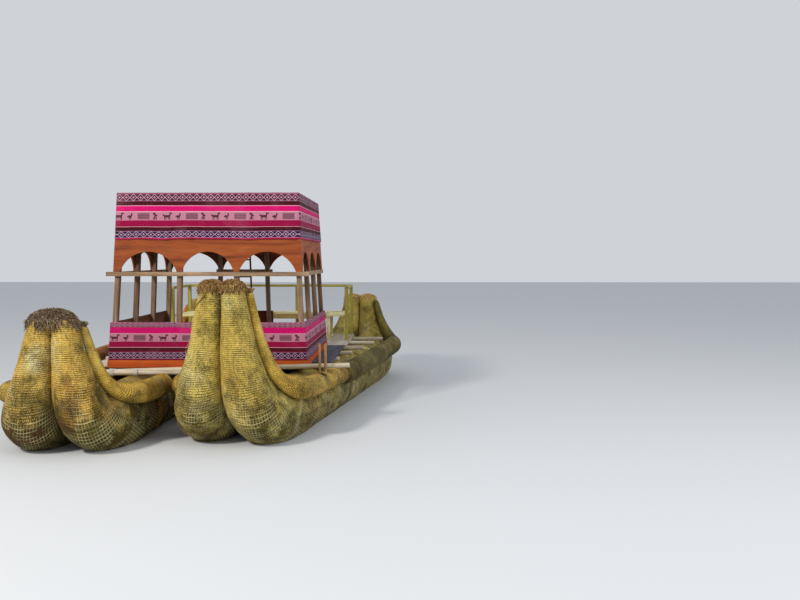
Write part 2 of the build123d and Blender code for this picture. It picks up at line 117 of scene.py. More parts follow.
def ramp(tree, value, stops, interpolation="LINEAR"):
    # A colour for each value, between stops of a position and a colour.
    node = tree.nodes.new("ShaderNodeValToRGB")
    node.color_ramp.interpolation = interpolation
    elements = node.color_ramp.elements
    elements[0].position, elements[0].color = stops[0]
    elements[1].position, elements[1].color = stops[-1]
    for position, colour in stops[1:-1]:
        elements.new(position).color = colour
    feed(tree, node.inputs[0], value)
    return node.outputs[0]


def stretch(tree, value, lowest, highest, outLow=0.0, outHigh=1.0):
    # A straight line from outLow at the lowest value to outHigh at the highest, level beyond them.
    node = tree.nodes.new("ShaderNodeMapRange")
    for socket, given in zip(node.inputs, (value, lowest, highest, outLow, outHigh)):
        feed(tree, socket, given)
    return node.outputs[0]


def scaled(tree, vector, scale):
    # A place times a scale on each axis; one number is the same scale on all three.
    node = tree.nodes.new("ShaderNodeMapping")
    feed(tree, node.inputs["Vector"], vector)
    node.inputs["Scale"].default_value = scale if isinstance(scale, tuple) else (scale, scale, scale)
    return node.outputs[0]


def noise(tree, vector, scale, detail=4.0, roughness=0.55, distortion=0.0):
    # Smooth random values around a half, at a place times the scale.
    node = tree.nodes.new("ShaderNodeTexNoise")
    feed(tree, node.inputs["Vector"], scaled(tree, vector, scale))
    node.inputs["Scale"].default_value = 1.0
    node.inputs["Detail"].default_value = detail
    node.inputs["Roughness"].default_value = roughness
    node.inputs["Distortion"].default_value = distortion
    return node.outputs[0]


def objectPlace(tree):
    # The place in the object's own metres.
    return tree.nodes.new("ShaderNodeTexCoord").outputs["Object"]


def uvPlace(tree):
    # The place on the surface, as metres round or across and metres or share along.
    return tree.nodes.new("ShaderNodeTexCoord").outputs["UV"]


def parts(tree, vector):
    # The three numbers of a place.
    node = tree.nodes.new("ShaderNodeSeparateXYZ")
    feed(tree, node.inputs[0], vector)
    return node.outputs[0], node.outputs[1], node.outputs[2]


def joined(tree, x, y, z):
    # A place of three numbers.
    node = tree.nodes.new("ShaderNodeCombineXYZ")
    for socket, value in zip(node.inputs, (x, y, z)):
        feed(tree, socket, value)
    return node.outputs[0]


def bumped(tree, shader, height, strength, distance):
    # Tilts the light on the surface by the slope of a height, in metres times the distance.
    node = tree.nodes.new("ShaderNodeBump")
    node.inputs["Strength"].default_value = strength
    node.inputs["Distance"].default_value = distance
    feed(tree, node.inputs["Height"], height)
    tree.links.new(node.outputs[0], shader.inputs["Normal"])


def islandShare(tree):
    # A random share of 0 to 1 that is the same all over each loose board or reed.
    return tree.nodes.new("ShaderNodeNewGeometry").outputs["Random Per Island"]


# Mesh helpers
def gridFaces(rows, columns, closed):
    # Quads between neighbouring rows and columns; a closed grid joins its last column to its first.
    across = columns if closed else columns - 1
    row, column = np.meshgrid(np.arange(rows - 1), np.arange(across), indexing="ij")
    after = (column + 1) % columns
    here, above = row * columns, (row + 1) * columns
    return np.stack([here + column, here + after, above + after, above + column], -1).reshape(-1, 4)


def makePiece(name, points, quads, uv=None, material=None, triangles=None, smooth=True):
    # points is (n, 3); quads (m, 4) and triangles (k, 3) are corner numbers; uv is (n, 2).
    mesh = bpy.data.meshes.new(name)
    quads = np.asarray(quads, int).reshape(-1, 4)
    triangles = np.zeros((0, 3), int) if triangles is None else np.asarray(triangles, int).reshape(-1, 3)
    corners = np.concatenate([quads.ravel(), triangles.ravel()])
    sizes = np.concatenate([np.full(len(quads), 4), np.full(len(triangles), 3)])
    mesh.vertices.add(len(points))
    mesh.vertices.foreach_set("co", np.asarray(points, float).ravel())
    mesh.loops.add(len(corners))
    mesh.loops.foreach_set("vertex_index", corners)
    mesh.polygons.add(len(sizes))
    mesh.polygons.foreach_set("loop_start", np.concatenate([[0], np.cumsum(sizes)[:-1]]))
    mesh.polygons.foreach_set("loop_total", sizes)
    if uv is not None:
        layer = mesh.uv_layers.new(name="place")
        layer.data.foreach_set("uv", np.asarray(uv, float)[corners].ravel())
    mesh.update(calc_edges=True)
    mesh.validate()
    mesh.polygons.foreach_set("use_smooth", np.full(len(mesh.polygons), smooth))
    thing = bpy.data.objects.new(name, mesh)
    bpy.context.scene.collection.objects.link(thing)
    if material is not None:
        mesh.materials.append(material)
    return thing


def dress(thing, slotName, *replaced):
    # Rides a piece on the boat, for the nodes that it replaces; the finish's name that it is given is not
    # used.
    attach(thing, "root")
    if replaced:
        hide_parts(*replaced)
    return thing


def easeSlopes(places, values):
    # Slopes for a smooth curve through values that never overshoots: the harmonic mean of the
    # two neighbouring steps where both go the same way, and nothing where they don't.
    steps = np.diff(values) / np.diff(places)
    before, after = steps[:-1], steps[1:]
    same = before * after > 0
    inner = np.where(same, 2 * before * after / np.where(same, before + after, 1), 0)
    return np.concatenate([[steps[0]], inner, [steps[-1]]])


def hermite(places, values, slopes, wanted):
    # A cubic through each value with the given slope there.
    index = np.clip(np.searchsorted(places, wanted, side="right") - 1, 0, len(places) - 2)
    width = places[index + 1] - places[index]
    share = (wanted - places[index]) / width
    shape = (len(wanted),) + (1,) * (values.ndim - 1)
    share = share.reshape(shape)
    width = width.reshape(shape)
    return (
        (2 * share**3 - 3 * share**2 + 1) * values[index]
        + (share**3 - 2 * share**2 + share) * width * slopes[index]
        + (3 * share**2 - 2 * share**3) * values[index + 1]
        + (share**3 - share**2) * width * slopes[index + 1]
    )


def wander(places, seed, pitch, size):
    # A slow random line: a few sine waves of random phase whose lengths are near the pitch.
    rng = np.random.default_rng(seed)
    waves = rng.uniform(0.6, 1.8, 5) * 2 * math.pi / pitch
    phases = rng.uniform(0, 2 * math.pi, 5)
    return size * np.sin(places[..., None] * waves + phases).sum(-1) / 3


def stickCloud(starts, ways, lengths, radii, taper=0.7, around=5):
    # Many small round sticks as one mesh: each has a ring of points at its start and a smaller
    # one at its end, square to its way, and is closed at both.
    count = len(starts)
    ways = ways / np.linalg.norm(ways, axis=1, keepdims=True)
    helper = np.where(np.abs(ways[:, 2:3]) < 0.9, [[0.0, 0.0, 1.0]], [[1.0, 0.0, 0.0]])
    side = np.cross(ways, helper)
    side /= np.linalg.norm(side, axis=1, keepdims=True)
    up = np.cross(ways, side)
    turn = np.linspace(0, 2 * math.pi, around, endpoint=False)
    ring = np.cos(turn)[None, :, None] * side[:, None, :] + np.sin(turn)[None, :, None] * up[:, None, :]
    foot = starts[:, None, :] + ring * radii[:, None, None]
    head = starts[:, None, :] + (ways * lengths[:, None])[:, None, :] + ring * (radii * taper)[:, None, None]
    points = np.concatenate([foot, head], axis=1).reshape(-1, 3)
    base = (np.arange(count) * 2 * around)[:, None]
    this = np.arange(around)[None, :]
    following = (this + 1) % around
    quads = np.stack(
        [base + this, base + this + around, base + following + around, base + following], axis=-1
    ).reshape(-1, 4)
    fan = np.arange(1, around - 1)
    hub = np.broadcast_to(base, (count, around - 2))
    top = np.stack([hub + around, base + around + fan[None, :] + 1, base + around + fan[None, :]], axis=-1)
    bottom = np.stack([hub, base + fan[None, :], base + fan[None, :] + 1], axis=-1)
    top, bottom = top.reshape(-1, 3), bottom.reshape(-1, 3)
    return points, quads, np.concatenate([top, bottom])


def tubeAlong(path, radius, around=8):
    # A round tube along a path: rings square to the path's direction, with both ends closed.
    path = np.asarray(path, float)
    radius = np.broadcast_to(np.asarray(radius, float), (len(path),))
    way = np.gradient(path, axis=0)
    way /= np.linalg.norm(way, axis=1, keepdims=True)
    helper = np.where(np.abs(way[:, 2:3]) < 0.9, [[0.0, 0.0, 1.0]], [[0.0, 1.0, 0.0]])
    side = np.cross(way, helper)
    side /= np.linalg.norm(side, axis=1, keepdims=True)
    up = np.cross(way, side)
    turn = np.linspace(0, 2 * math.pi, around, endpoint=False)
    ring = np.cos(turn)[None, :, None] * side[:, None, :] + np.sin(turn)[None, :, None] * up[:, None, :]
    points = (path[:, None, :] + ring * radius[:, None, None]).reshape(-1, 3)
    quads = gridFaces(len(path), around, True)[:, ::-1]
    fan = np.arange(1, around - 1)
    last = (len(path) - 1) * around
    ends = np.concatenate(
        [
            np.stack([np.zeros_like(fan), fan, fan + 1], -1),
            np.stack([np.full_like(fan, last), last + fan + 1, last + fan], -1),
        ]
    )
    length = np.concatenate([[0], np.cumsum(np.linalg.norm(np.diff(path, axis=0), axis=1))])
    uv = np.stack(np.meshgrid(length, turn * radius.mean(), indexing="ij"), -1).reshape(-1, 2)
    return points, quads, ends, uv


def gathered(shapes):
    # Several meshes of points, quads and triangles as one.
    points, quads, triangles, start = [], [], [], 0
    for shape in shapes:
        points.append(shape[0])
        quads.append(np.asarray(shape[1]) + start)
        triangles.append(np.asarray(shape[2]) + start)
        start += len(shape[0])
    return np.concatenate(points), np.concatenate(quads), np.concatenate(triangles)


# Hulls. The rows are the part's own sections in metres, so the reeds lie where its solids do.
hullLook = {
    "bundleRadius": 0.400, "bundleOffset": 0.385, "tipRadius": 0.135,
    "straightHalf": 2.450, "columnReach": 3.340, "around": 76, "step": 0.0180, "shrink": 0.002,
    "lumps": 0.006, "mostSwell": 0.008, "seamGap": 0.0012, "hoopPitch": 0.32, "hoopPinch": 0.35,
}
rollLook = {  # gunwales; lift is in degrees over the bundle's side
    "bowRadius": 0.140, "sideRadius": 0.155, "tipRadius": 0.048, "tipStart": 0.050,
    "bowLift": 38.0, "gap": -0.004, "frontPoleY": -2.050, "outerBowEnd": -1.200, "sideGap": 0.040,
    "ease": 4.5, "lumps": 0.002, "shrink": 0.004, "bowAround": 44, "sideAround": 48,
    "cutReach": 0.07, "cutLeast": 0.55, "tipReach": 0.09, "tipLeast": 0.35,
}
hulls = [
    {
        "side": "port", "outboard": -1, "centreX": -1.270, "centreY": -0.400, "toeOut": 0.0,
        "bowTop": 1.645, "sternTop": 1.480, "sideLift": 50.0, "innerCut": 0.330,
    },
    {
        "side": "starboard", "outboard": 1, "centreX": 1.125, "centreY": -0.050, "toeOut": 10.2,
        "bowTop": 2.012, "sternTop": 1.560, "sideLift": 35.0, "innerCut": 0.575,
    },
]
# Each section: share of the reach past the straight part, share of the height, of the girth, and lean
bowSections = np.array([
    (0.00, 0.000, 1.00, 0.0), (0.34, 0.012, 0.98, 8.0), (0.64, 0.058, 0.90, 24.0),
    (0.83, 0.130, 0.79, 43.0), (0.94, 0.235, 0.63, 67.0), (1.00, 0.400, 0.43, 83.0),
    (1.01, 0.660, 0.20, 89.0), (1.00, 1.000, 0.00, 90.0),
])
sternSections = np.array([
    (0.00, 0.000, 1.00, 0.0), (0.30, 0.022, 0.96, 16.0), (0.58, 0.096, 0.86, 36.0),
    (0.78, 0.220, 0.73, 54.0), (0.91, 0.410, 0.53, 70.0), (0.97, 0.640, 0.30, 80.0),
    (1.00, 1.000, 0.08, 86.0),
])


def hullRows(hull):
    # The part's own sections of a hull from bow tip to stern tip: y, z, radius and direction.
    look = hullLook
    rows = []
    for table, end, top in ((bowSections, -1, hull["bowTop"]), (sternSections, 1, hull["sternTop"])):
        y = end * (look["straightHalf"] + table[:, 0] * (look["columnReach"] - look["straightHalf"]))
        z = look["bundleRadius"] + table[:, 1] * (top - look["bundleRadius"])
        radius = look["tipRadius"] + table[:, 2] * (look["bundleRadius"] - look["tipRadius"])
        lean = np.radians(table[:, 3])
        rows.append(np.stack([y, z, radius, np.cos(lean), end * np.sin(lean)], -1))
    return np.concatenate([rows[0][::-1], rows[1]])


def hullPath(hull):
    # The centre line of a hull from bow tip to stern tip, as y, z, radius and direction: a
    # cubic through the part's sections that runs along each section's lean.
    look = hullLook
    rows = hullRows(hull)
    place = rows[:, :2]
    chord = np.linalg.norm(np.diff(place, axis=0), axis=1)
    along = np.concatenate([[0], np.cumsum(chord)])
    wanted = np.linspace(0, along[-1], int(along[-1] / look["step"]) + 1)
    centre = hermite(along, place, rows[:, 3:5], wanted)
    radius = hermite(along, rows[:, 2], easeSlopes(along, rows[:, 2]), wanted)
    way = np.gradient(centre, axis=0)
    way /= np.linalg.norm(way, axis=1, keepdims=True)
    length = np.concatenate([[0], np.cumsum(np.linalg.norm(np.diff(centre, axis=0), axis=1))])
    return centre, radius, way, length


def setDown(hull, points):
    # From a hull's own place to the boat's: turned by its toe, moved to its centre line and home.
    toe = math.radians(hull["toeOut"])
    x = points[..., 0] * math.cos(toe) + points[..., 1] * math.sin(toe)
    y = -points[..., 0] * math.sin(toe) + points[..., 1] * math.cos(toe)
    shift = np.array([hull["centreX"] + hull["centreY"] * math.tan(toe), hull["centreY"], 0.0]) + home
    return np.stack([x, y, points[..., 2]], -1) + shift


def reedColumn(centre, across, way, radius, length, around, seed, lumps, flatSide=None):
    # A surface of angle and distance along a path: centre plus radius times the circle square
    # to the path, swollen by slow random lumps, and pinched where the hoops are drawn tight.
    # With a flat side, its points stop at the plane between the two bundles.
    turn = np.linspace(0, 2 * math.pi, around, endpoint=False)
    swell = wander(length[:, None] + 0.3 * np.sin(turn)[None, :], seed, 0.9, lumps)
    swell += wander(turn[None, :] * 0.4 + 0.15 * length[:, None], seed + 7, 0.8, lumps * 0.6)
    pinch = -hullLook["hoopPinch"] * lumps * np.abs(np.cos(length * math.pi / hullLook["hoopPitch"])) ** 8
    size = radius[:, None] + np.minimum(swell + pinch[:, None], hullLook["mostSwell"])
    x = across[:, None] + size * np.cos(turn)
    y = centre[:, None, 0] - way[:, None, 1] * size * np.sin(turn)
    z = centre[:, None, 1] + way[:, None, 0] * size * np.sin(turn)
    if flatSide is not None:
        x = flatSide * np.maximum(flatSide * x, hullLook["seamGap"])
    points = np.stack([x, y, z], -1)
    uv = np.stack(np.broadcast_arrays(turn[None, :] * float(radius.max()), length[:, None]), -1)
    return points, uv


def closeEnds(rows, around):
    # Fans that close the first and last ring of a grid through its own points.
    fan = np.arange(1, around - 1)
    last = (rows - 1) * around
    return np.concatenate(
        [
            np.stack([np.zeros_like(fan), fan + 1, fan], -1),
            np.stack([np.full_like(fan, last), last + fan, last + fan + 1], -1),
        ]
    )


def evened(values, steps):
    # A bell-shaped moving average down the rows, with the ends mirrored so that they keep place.
    reach = int(3 * steps)
    weights = np.exp(-0.5 * (np.arange(-reach, reach + 1) / steps) ** 2)
    weights /= weights.sum()
    before = 2 * values[0] - values[reach:0:-1]
    after = 2 * values[-1] - values[-2:-reach - 2:-1]
    long = np.concatenate([before, values, after])
    return np.stack([np.convolve(long[:, column], weights, "valid") for column in range(values.shape[1])], -1)


def gunwalePath(hull, side, lift, bodyRadius):
    # The gunwale lies beside and above its bundle: at each section it is set off by both radii,
    # out by the cosine and in over the bend by the sine of its lift. A cubic joins these
    # places with the slope of the line through each place's two neighbours, and is evened out.
    look = hullLook
    rows = hullRows(hull)
    radius, way = rows[:, 2], rows[:, 3:5]
    share = np.clip((radius - look["tipRadius"]) / (look["bundleRadius"] - look["tipRadius"]), 0, 1)
    own = rollLook["tipRadius"] + share * (bodyRadius - rollLook["tipRadius"])
    reach = radius + own + rollLook["gap"]
    aside, over = reach * math.cos(math.radians(lift)), reach * math.sin(math.radians(lift))
    across = side * (radius * look["bundleOffset"] / look["bundleRadius"] + aside)
    place = rows[:, :2] + over[:, None] * np.stack([-way[:, 1], way[:, 0]], -1)
    along = np.concatenate([[0], np.cumsum(np.linalg.norm(np.diff(place, axis=0), axis=1))])
    wanted = np.linspace(0, along[-1], int(along[-1] / look["step"]) + 1)
    line = hermite(along, place, np.gradient(place, along, axis=0), wanted)
    across = hermite(along, across, easeSlopes(along, across), wanted)
    own = hermite(along, own, easeSlopes(along, own), wanted)
    line, across = evened(line, rollLook["ease"]), evened(across[:, None], rollLook["ease"])[:, 0]
    way = np.gradient(line, axis=0)
    way /= np.linalg.norm(way, axis=1, keepdims=True)
    length = np.concatenate([[0], np.cumsum(np.linalg.norm(np.diff(line, axis=0), axis=1))])
    return line, across, own, way, length


def roundedEnd(own, length, atStart, reach, least):
    # The last stretch of a gunwale draws in like a quarter circle, to its least share at the end.
    away = (length - length[0]) if atStart else (length[-1] - length)
    share = np.clip(away / reach, 0, 1)
    return own * (least + (1 - least) * np.sqrt(1 - (1 - share) ** 2))


def stitchRows(tree, across, along, look):
    # Cells of one tick by one row, each row moved on by half a tick: a random shade for each
    # cell, and how far a place lies in the gaps between them.
    rows = tree.nodes.new("ShaderNodeTexBrick")
    feed(tree, rows.inputs["Vector"], joined(tree, across, along, 0.0))
    rows.offset = 0.5
    values = {
        "Scale": 1.0, "Mortar Size": look["seam"], "Mortar Smooth": 0.6, "Brick Width": look["tick"],
        "Row Height": look["row"], "Color1": (0, 0, 0, 1), "Color2": (1, 1, 1, 1),
    }
    for socketName, value in values.items():
        rows.inputs[socketName].default_value = value
    return rows.outputs["Color"], rows.outputs["Fac"]


def tornPlace(tree, base, place, blotches, look):
    # Brown, then near black as the painted shade of a hole, by the distance from the torn place, made ragged
    # by the blotches.
    torn = tree.nodes.new("ShaderNodeVectorMath")
    torn.operation = "DISTANCE"
    feed(tree, torn.inputs[0], place)
    torn.inputs[1].default_value = tuple(np.array(look["torn"]) + home)
    uneven = calc(tree, "MULTIPLY", calc(tree, "SUBTRACT", blotches, 0.5), 0.12)
    ragged = calc(tree, "ADD", torn.outputs["Value"], uneven)
    base = mixColour(tree, stretch(tree, ragged, 0.10, 0.055), base, look["brown"])
    return mixColour(tree, stretch(tree, ragged, 0.055, 0.040), base, look["holeShade"])


def netShare(tree, across, along, place, lowDown, look):
    # Where a pale net of cords shows: along the middles of slanting and of level stripes, low
    # down and in patches.
    acrossPer, slantPer, alongPer = look["netCords"]
    climb = calc(tree, "MULTIPLY", along, slantPer)
    slant = calc(tree, "ADD", calc(tree, "MULTIPLY", across, acrossPer), climb)
    slanting = fromHalf(tree, calc(tree, "FRACT", slant))
    level = fromHalf(tree, calc(tree, "FRACT", calc(tree, "MULTIPLY", along, alongPer)))
    net = calc(tree, "MAXIMUM", stretch(tree, slanting, 0.10, 0.05), stretch(tree, level, 0.13, 0.07))
    netLow = calc(tree, "MULTIPLY", net, stretch(tree, lowDown, 0.30, 0.8))
    patches = stretch(tree, noise(tree, place, 5.0, 3.0), 0.42, 0.56, 0.0, look["net"])
    return calc(tree, "MULTIPLY", netLow, patches)


def reedMaterial(name, look):
    # Rows of stitched reed: dark gaps between their ticks make dashes, and fine reeds run
    # lengthwise over broad patches of four tones. Specks gather in patches, stains and the net
    # low down. The relief is fine reeds less gaps and specks, plus half the net.
    material, tree, shader = newMaterial(name, 0.74, 0.22)
    place, uv = objectPlace(tree), uvPlace(tree)
    across, along, _ = parts(tree, uv)
    _, _, heightUp = parts(tree, place)
    along = calc(tree, "ADD", along, calc(tree, "MULTIPLY", noise(tree, place, 3.1, 4.0), look["wobble"]))
    cellShade, seam = stitchRows(tree, across, along, look)
    lowDown = stretch(tree, heightUp, look["stainTop"], look["stainFoot"])
    reeds = noise(tree, uv, (170.0, 9.0, 1.0), 3.0, 0.6)

    tones = [(0.32, look["deep"]), (0.46, look["mid"]), (0.57, look["light"]), (0.70, look["pale"])]
    base = ramp(tree, noise(tree, place, (2.0, 2.0, 1.5), 5.0, 0.62), tones)
    base = mixColour(tree, calc(tree, "MULTIPLY", cellShade, 0.38), base, look["pale"])
    base = mixColour(tree, stretch(tree, reeds, 0.42, 0.72, 0.0, 0.38), base, look["mid"], "MULTIPLY")

    patchy = calc(tree, "MULTIPLY", noise(tree, place, 4.2, 5.0, 0.68), 0.5)
    crowd = calc(tree, "ADD", patchy, calc(tree, "MULTIPLY", lowDown, 0.10))
    fleck = noise(tree, uv, (95.0, 85.0, 1.0), 4.0, 0.8)
    specks = stretch(tree, calc(tree, "ADD", fleck, crowd), 0.79, 0.86)
    base = mixColour(tree, calc(tree, "MULTIPLY", specks, look["speck"], clamp=True), base, look["dark"])

    blotches = noise(tree, place, (3.6, 3.6, 2.4), 7.0, 0.68, 0.5)
    soaked = calc(tree, "ADD", blotches, calc(tree, "MULTIPLY", lowDown, look["rise"]))
    stain = stretch(tree, soaked, 0.60, 0.78)
    green = stretch(tree, noise(tree, place, 1.9, 3.0), 0.42, 0.58)
    if "torn" in look:
        base = tornPlace(tree, base, place, blotches, look)
    stainColour = mixColour(tree, green, look["brown"], look["olive"])
    base = mixColour(tree, calc(tree, "MULTIPLY", stain, look["stain"]), base, stainColour)

    dashes = stretch(tree, noise(tree, uv, (16.0, 11.0, 1.0), 4.0, 0.75), 0.34, 0.54)
    tone = stretch(tree, lowDown, 0.0, 1.0, look["seamTone"], 1.0)
    gap = calc(tree, "MULTIPLY", calc(tree, "MULTIPLY", seam, dashes), tone, clamp=True)
    base = mixColour(tree, gap, base, look["dark"])
    net = netShare(tree, across, along, place, lowDown, look)
    base = mixColour(tree, net, base, look["pale"])

    tree.links.new(base, shader.inputs["Base Color"])
    tree.links.new(stretch(tree, stain, 0.0, 1.0, 0.68, 0.9), shader.inputs["Roughness"])
    height = calc(tree, "SUBTRACT", calc(tree, "MULTIPLY", reeds, 0.35), calc(tree, "MULTIPLY", seam, 0.8))
    height = calc(tree, "ADD", height, calc(tree, "MULTIPLY", net, 0.5))
    height = calc(tree, "SUBTRACT", height, calc(tree, "MULTIPLY", specks, 0.5))
    bumped(tree, shader, height, 0.9, look["relief"])
    return material


bundleReed = {
    "deep": srgb(200, 166, 58), "mid": srgb(232, 200, 80), "light": srgb(243, 218, 110),
    "pale": srgb(248, 236, 170),
    # the near-black colour is painted shade for the hole at a torn place
    "dark": srgb(46, 36, 14), "brown": srgb(92, 60, 22), "olive": srgb(82, 82, 26), "holeShade": srgb(14, 10, 6),
    "row": 0.0205, "tick": 0.027, "seam": 0.0042, "relief": 0.009, "stainTop": 1.25, "stainFoot": 0.25,
    "wobble": 0.045, "rise": 0.20, "stain": 0.66, "speck": 0.88, "seamTone": 0.92,
    "net": 0.6, "netCords": (24.0, 9.0, 32.0),
}
portReed = dict(
    bundleReed, mid=srgb(222, 176, 58), light=srgb(236, 196, 80), deep=srgb(196, 138, 38),
    stain=0.9, stainTop=1.20, rise=0.34,
)
gunwaleReed = dict(
    bundleReed, deep=srgb(192, 148, 46), mid=srgb(222, 178, 62), light=srgb(236, 198, 84),
    pale=srgb(246, 220, 132), row=0.0180, tick=0.036, seam=0.0034, relief=0.008, stain=0.35,
    seamTone=0.8, net=0.0, speck=0.8, wobble=0.02, torn=(1.581, -2.358, 0.848),
)
orangeReed = dict(
    gunwaleReed, deep=srgb(186, 110, 26), mid=srgb(218, 136, 34), light=srgb(232, 156, 48),
    pale=srgb(242, 186, 90),
)
# The starboard side gunwale: the gunwale reed darkened to olive, as painted shade for the shadow that roll
# lies in
shadedOliveReed = dict(
    gunwaleReed, deep=srgb(86, 80, 32), mid=srgb(122, 110, 46), light=srgb(154, 136, 60),
    pale=srgb(190, 172, 92), stain=0.6,
)
reedMaterials = {
    "bundle": reedMaterial("reed_bundle_starboard", bundleReed),
    "portBundle": reedMaterial("reed_bundle_port", portReed),
    "gunwale": reedMaterial("reed_gunwale_bow", gunwaleReed),
    "orange": reedMaterial("reed_gunwale_port_side", orangeReed),
    "olive": reedMaterial("reed_gunwale_starboard_side", shadedOliveReed),
}


def frayMaterial(name, look):
    # Cut reed ends: each reed its own shade from straw to grey and rust, flecked darker by fine noise.
    material, tree, shader = newMaterial(name, 0.9, 0.1)
    shade = ramp(tree, islandShare(tree), look["shades"], "CONSTANT")
    grain = noise(tree, objectPlace(tree), (90.0, 90.0, 30.0), 3.0, 0.7)
    colour = mixColour(tree, stretch(tree, grain, 0.4, 0.7, 0.0, 0.5), shade, look["dark"])
    tree.links.new(colour, shader.inputs["Base Color"])
    bumped(tree, shader, grain, 0.6, 0.004)
    return material


capLook = {
    "shades": [
        (0.0, srgb(122, 90, 50)), (0.2, srgb(176, 138, 80)), (0.4, srgb(96, 68, 40)),
        (0.56, srgb(150, 106, 54)), (0.72, srgb(198, 162, 104)), (0.88, srgb(132, 108, 78)),
    ],
    "dark": srgb(50, 34, 20), "reeds": 2000, "reedRadius": 0.0034, "reach": 0.034, "toss": 0.38,
    "oneDome": False, "dome": 0.062, "bulge": 0.012,
    "skirt": 1150, "skirtReach": 0.060, "skirtDrop": 0.085, "skirtToss": 0.30,
    "coreAround": 36, "coreLevels": [0.0, 0.35, 0.65, 0.88, 0.99], "coreWide": 0.96, "coreHigh": 0.92,
}
portCapLook = dict(
    capLook, oneDome=True, dome=0.115, skirtDrop=0.105, skirtReach=0.075, bulge=0.016,
    shades=[
        (0.0, srgb(118, 102, 86)), (0.22, srgb(160, 144, 122)), (0.45, srgb(66, 48, 36)),
        (0.62, srgb(124, 92, 60)), (0.8, srgb(90, 76, 66)),
    ],
)
sternLook = dict(
    capLook, skirt=300, dome=0.05,
    shades=[
        (0.0, srgb(214, 186, 120)), (0.3, srgb(196, 150, 80)),
        (0.55, srgb(228, 208, 156)), (0.8, srgb(150, 106, 50)),
    ],
)
capMaterials = {
    "starboard": frayMaterial("frayed_ends_starboard_bow", capLook),
    "port": frayMaterial("frayed_ends_port_bow", portCapLook),
    "stern": frayMaterial("frayed_ends_stern", sternLook),
}


def domeReeds(rng, look, half, count):
    # Reeds at random places of an ellipse, each at the height of a half ellipsoid there, along
    # the dome's own slope and tossed about: their starts, ways, lengths and radii.
    share = np.sqrt(rng.uniform(0, 1, count))
    turn = rng.uniform(0, 2 * math.pi, count)
    flat = np.stack([np.cos(turn), np.sin(turn)], -1) * share[:, None]
    rise = np.sqrt(np.clip(1.02 - share**2, 0, 1)) * look["dome"] * rng.uniform(0.80, 1.08, count)
    ways = np.column_stack([flat * (0.4 + 1.0 * share[:, None]), 0.8 - 1.2 * share**2])
    ways += rng.normal(0, look["toss"], (count, 3))
    ways /= np.linalg.norm(ways, axis=1, keepdims=True)
    reach = look["reach"] * rng.uniform(0.5, 1.5, count)
    starts = np.column_stack([flat * half, rise]) - ways * (reach * 0.6)[:, None]
    return starts, ways, reach, look["reedRadius"] * rng.uniform(0.7, 1.5, count)


def domeCore(look, half):
    # A closed half ellipsoid a little smaller than the dome: at each level from its foot, a ring
    # as wide as the root of one less the level's square.
    around, levels = look["coreAround"], np.array(look["coreLevels"])
    turn = np.linspace(0, 2 * math.pi, around, endpoint=False)
    wide = np.sqrt(1 - levels**2)[:, None]
    rings = np.stack(np.broadcast_arrays(wide * np.cos(turn), wide * np.sin(turn), levels[:, None]), -1)
    rings = rings * [*(half * look["coreWide"]), look["dome"] * look["coreHigh"]]
    return rings.reshape(-1, 3), gridFaces(len(levels), around, True), closeEnds(len(levels), around)


def skirtReeds(rng, look, half, count):
    # Reeds round the rim that lie down its sides: most near the top, where the rim swells out by
    # the root of the share of the drop that is left, and tossed about.
    turn = rng.uniform(0, 2 * math.pi, count)
    ring = np.column_stack([np.cos(turn), np.sin(turn), np.zeros(count)])
    depth = look["skirtDrop"] * rng.uniform(0, 1, count) ** 1.4
    swell = look["bulge"] * np.sqrt(np.clip(1 - depth / look["skirtDrop"], 0, 1))
    starts = ring * (np.array([*half, 0.0]) + (swell + 0.10 * depth)[:, None] * np.array([1, 1, 0]))
    starts[:, 2] = 0.012 - depth
    ways = ring * 0.22 + np.array([0, 0, -0.9]) + rng.normal(0, look["skirtToss"], (count, 3))
    ways /= np.linalg.norm(ways, axis=1, keepdims=True)
    reach = look["skirtReach"] * rng.uniform(0.3, 1.0, count)
    return starts, ways, reach, look["reedRadius"] * rng.uniform(0.7, 1.4, count)


def frayedCap(name, hull, path, atStart, look, material, node):
    # Short reeds make a low dome over the two ends, or one over each. A core fills it and a skirt
    # of reeds goes round its rim. All are worked out along the end's own axes: across the hull,
    # square to the bundle, and out of its end.
    centre, radius, way = path
    rng = np.random.default_rng(len(name) * 31 + (1 if atStart else 2))
    index = 0 if atStart else -1
    out = -way[index] if atStart else way[index]
    axes = np.array([[1.0, 0.0, 0.0], [0.0, -way[index][1], way[index][0]], [0.0, *out]])
    size = radius[index]
    offset = size * hullLook["bundleOffset"] / hullLook["bundleRadius"]
    domes = [(0.0, offset + size)] if look["oneDome"] else [(-offset, size), (offset, size)]
    shapes = []
    for middleX, halfX in domes:
        middle, half = np.array([middleX, *centre[index]]), np.array([halfX, size])
        starts, ways, lengths, girths = domeReeds(rng, look, half, look["reeds"] // len(domes))
        shapes.append(stickCloud(middle + starts @ axes, ways @ axes, lengths, girths))
        points, faces, ends = domeCore(look, half)
        shapes.append((middle + points @ axes, faces, ends))
        starts, ways, lengths, girths = skirtReeds(rng, look, half, look["skirt"] // len(domes))
        shapes.append(stickCloud(middle + starts @ axes, ways @ axes, lengths, girths, 0.5))
    points, quads, triangles = gathered(shapes)
    thing = makePiece(name, setDown(hull, points), quads, None, material, triangles, smooth=False)
    return dress(thing, "reed_ends", node)


def makeRoll(name, hull, roll, keep, cutAtStart, around, seed, material, node):
    # One gunwale: the kept stretch of its path as a reed column, blunt at its cut and thin at its tip.
    look = rollLook
    line, across, own, way, length = (values[keep] for values in roll)
    own = roundedEnd(own - look["shrink"], length, cutAtStart, look["cutReach"], look["cutLeast"])
    own = roundedEnd(own, length, not cutAtStart, look["tipReach"], look["tipLeast"])
    points, uv = reedColumn(line, across, way, own, length, around, seed, look["lumps"])
    thing = makePiece(
        name, setDown(hull, points).reshape(-1, 3), gridFaces(len(own), around, True),
        uv.reshape(-1, 2), material, closeEnds(len(own), around),
    )
    return dress(thing, "reed_gunwale", node)


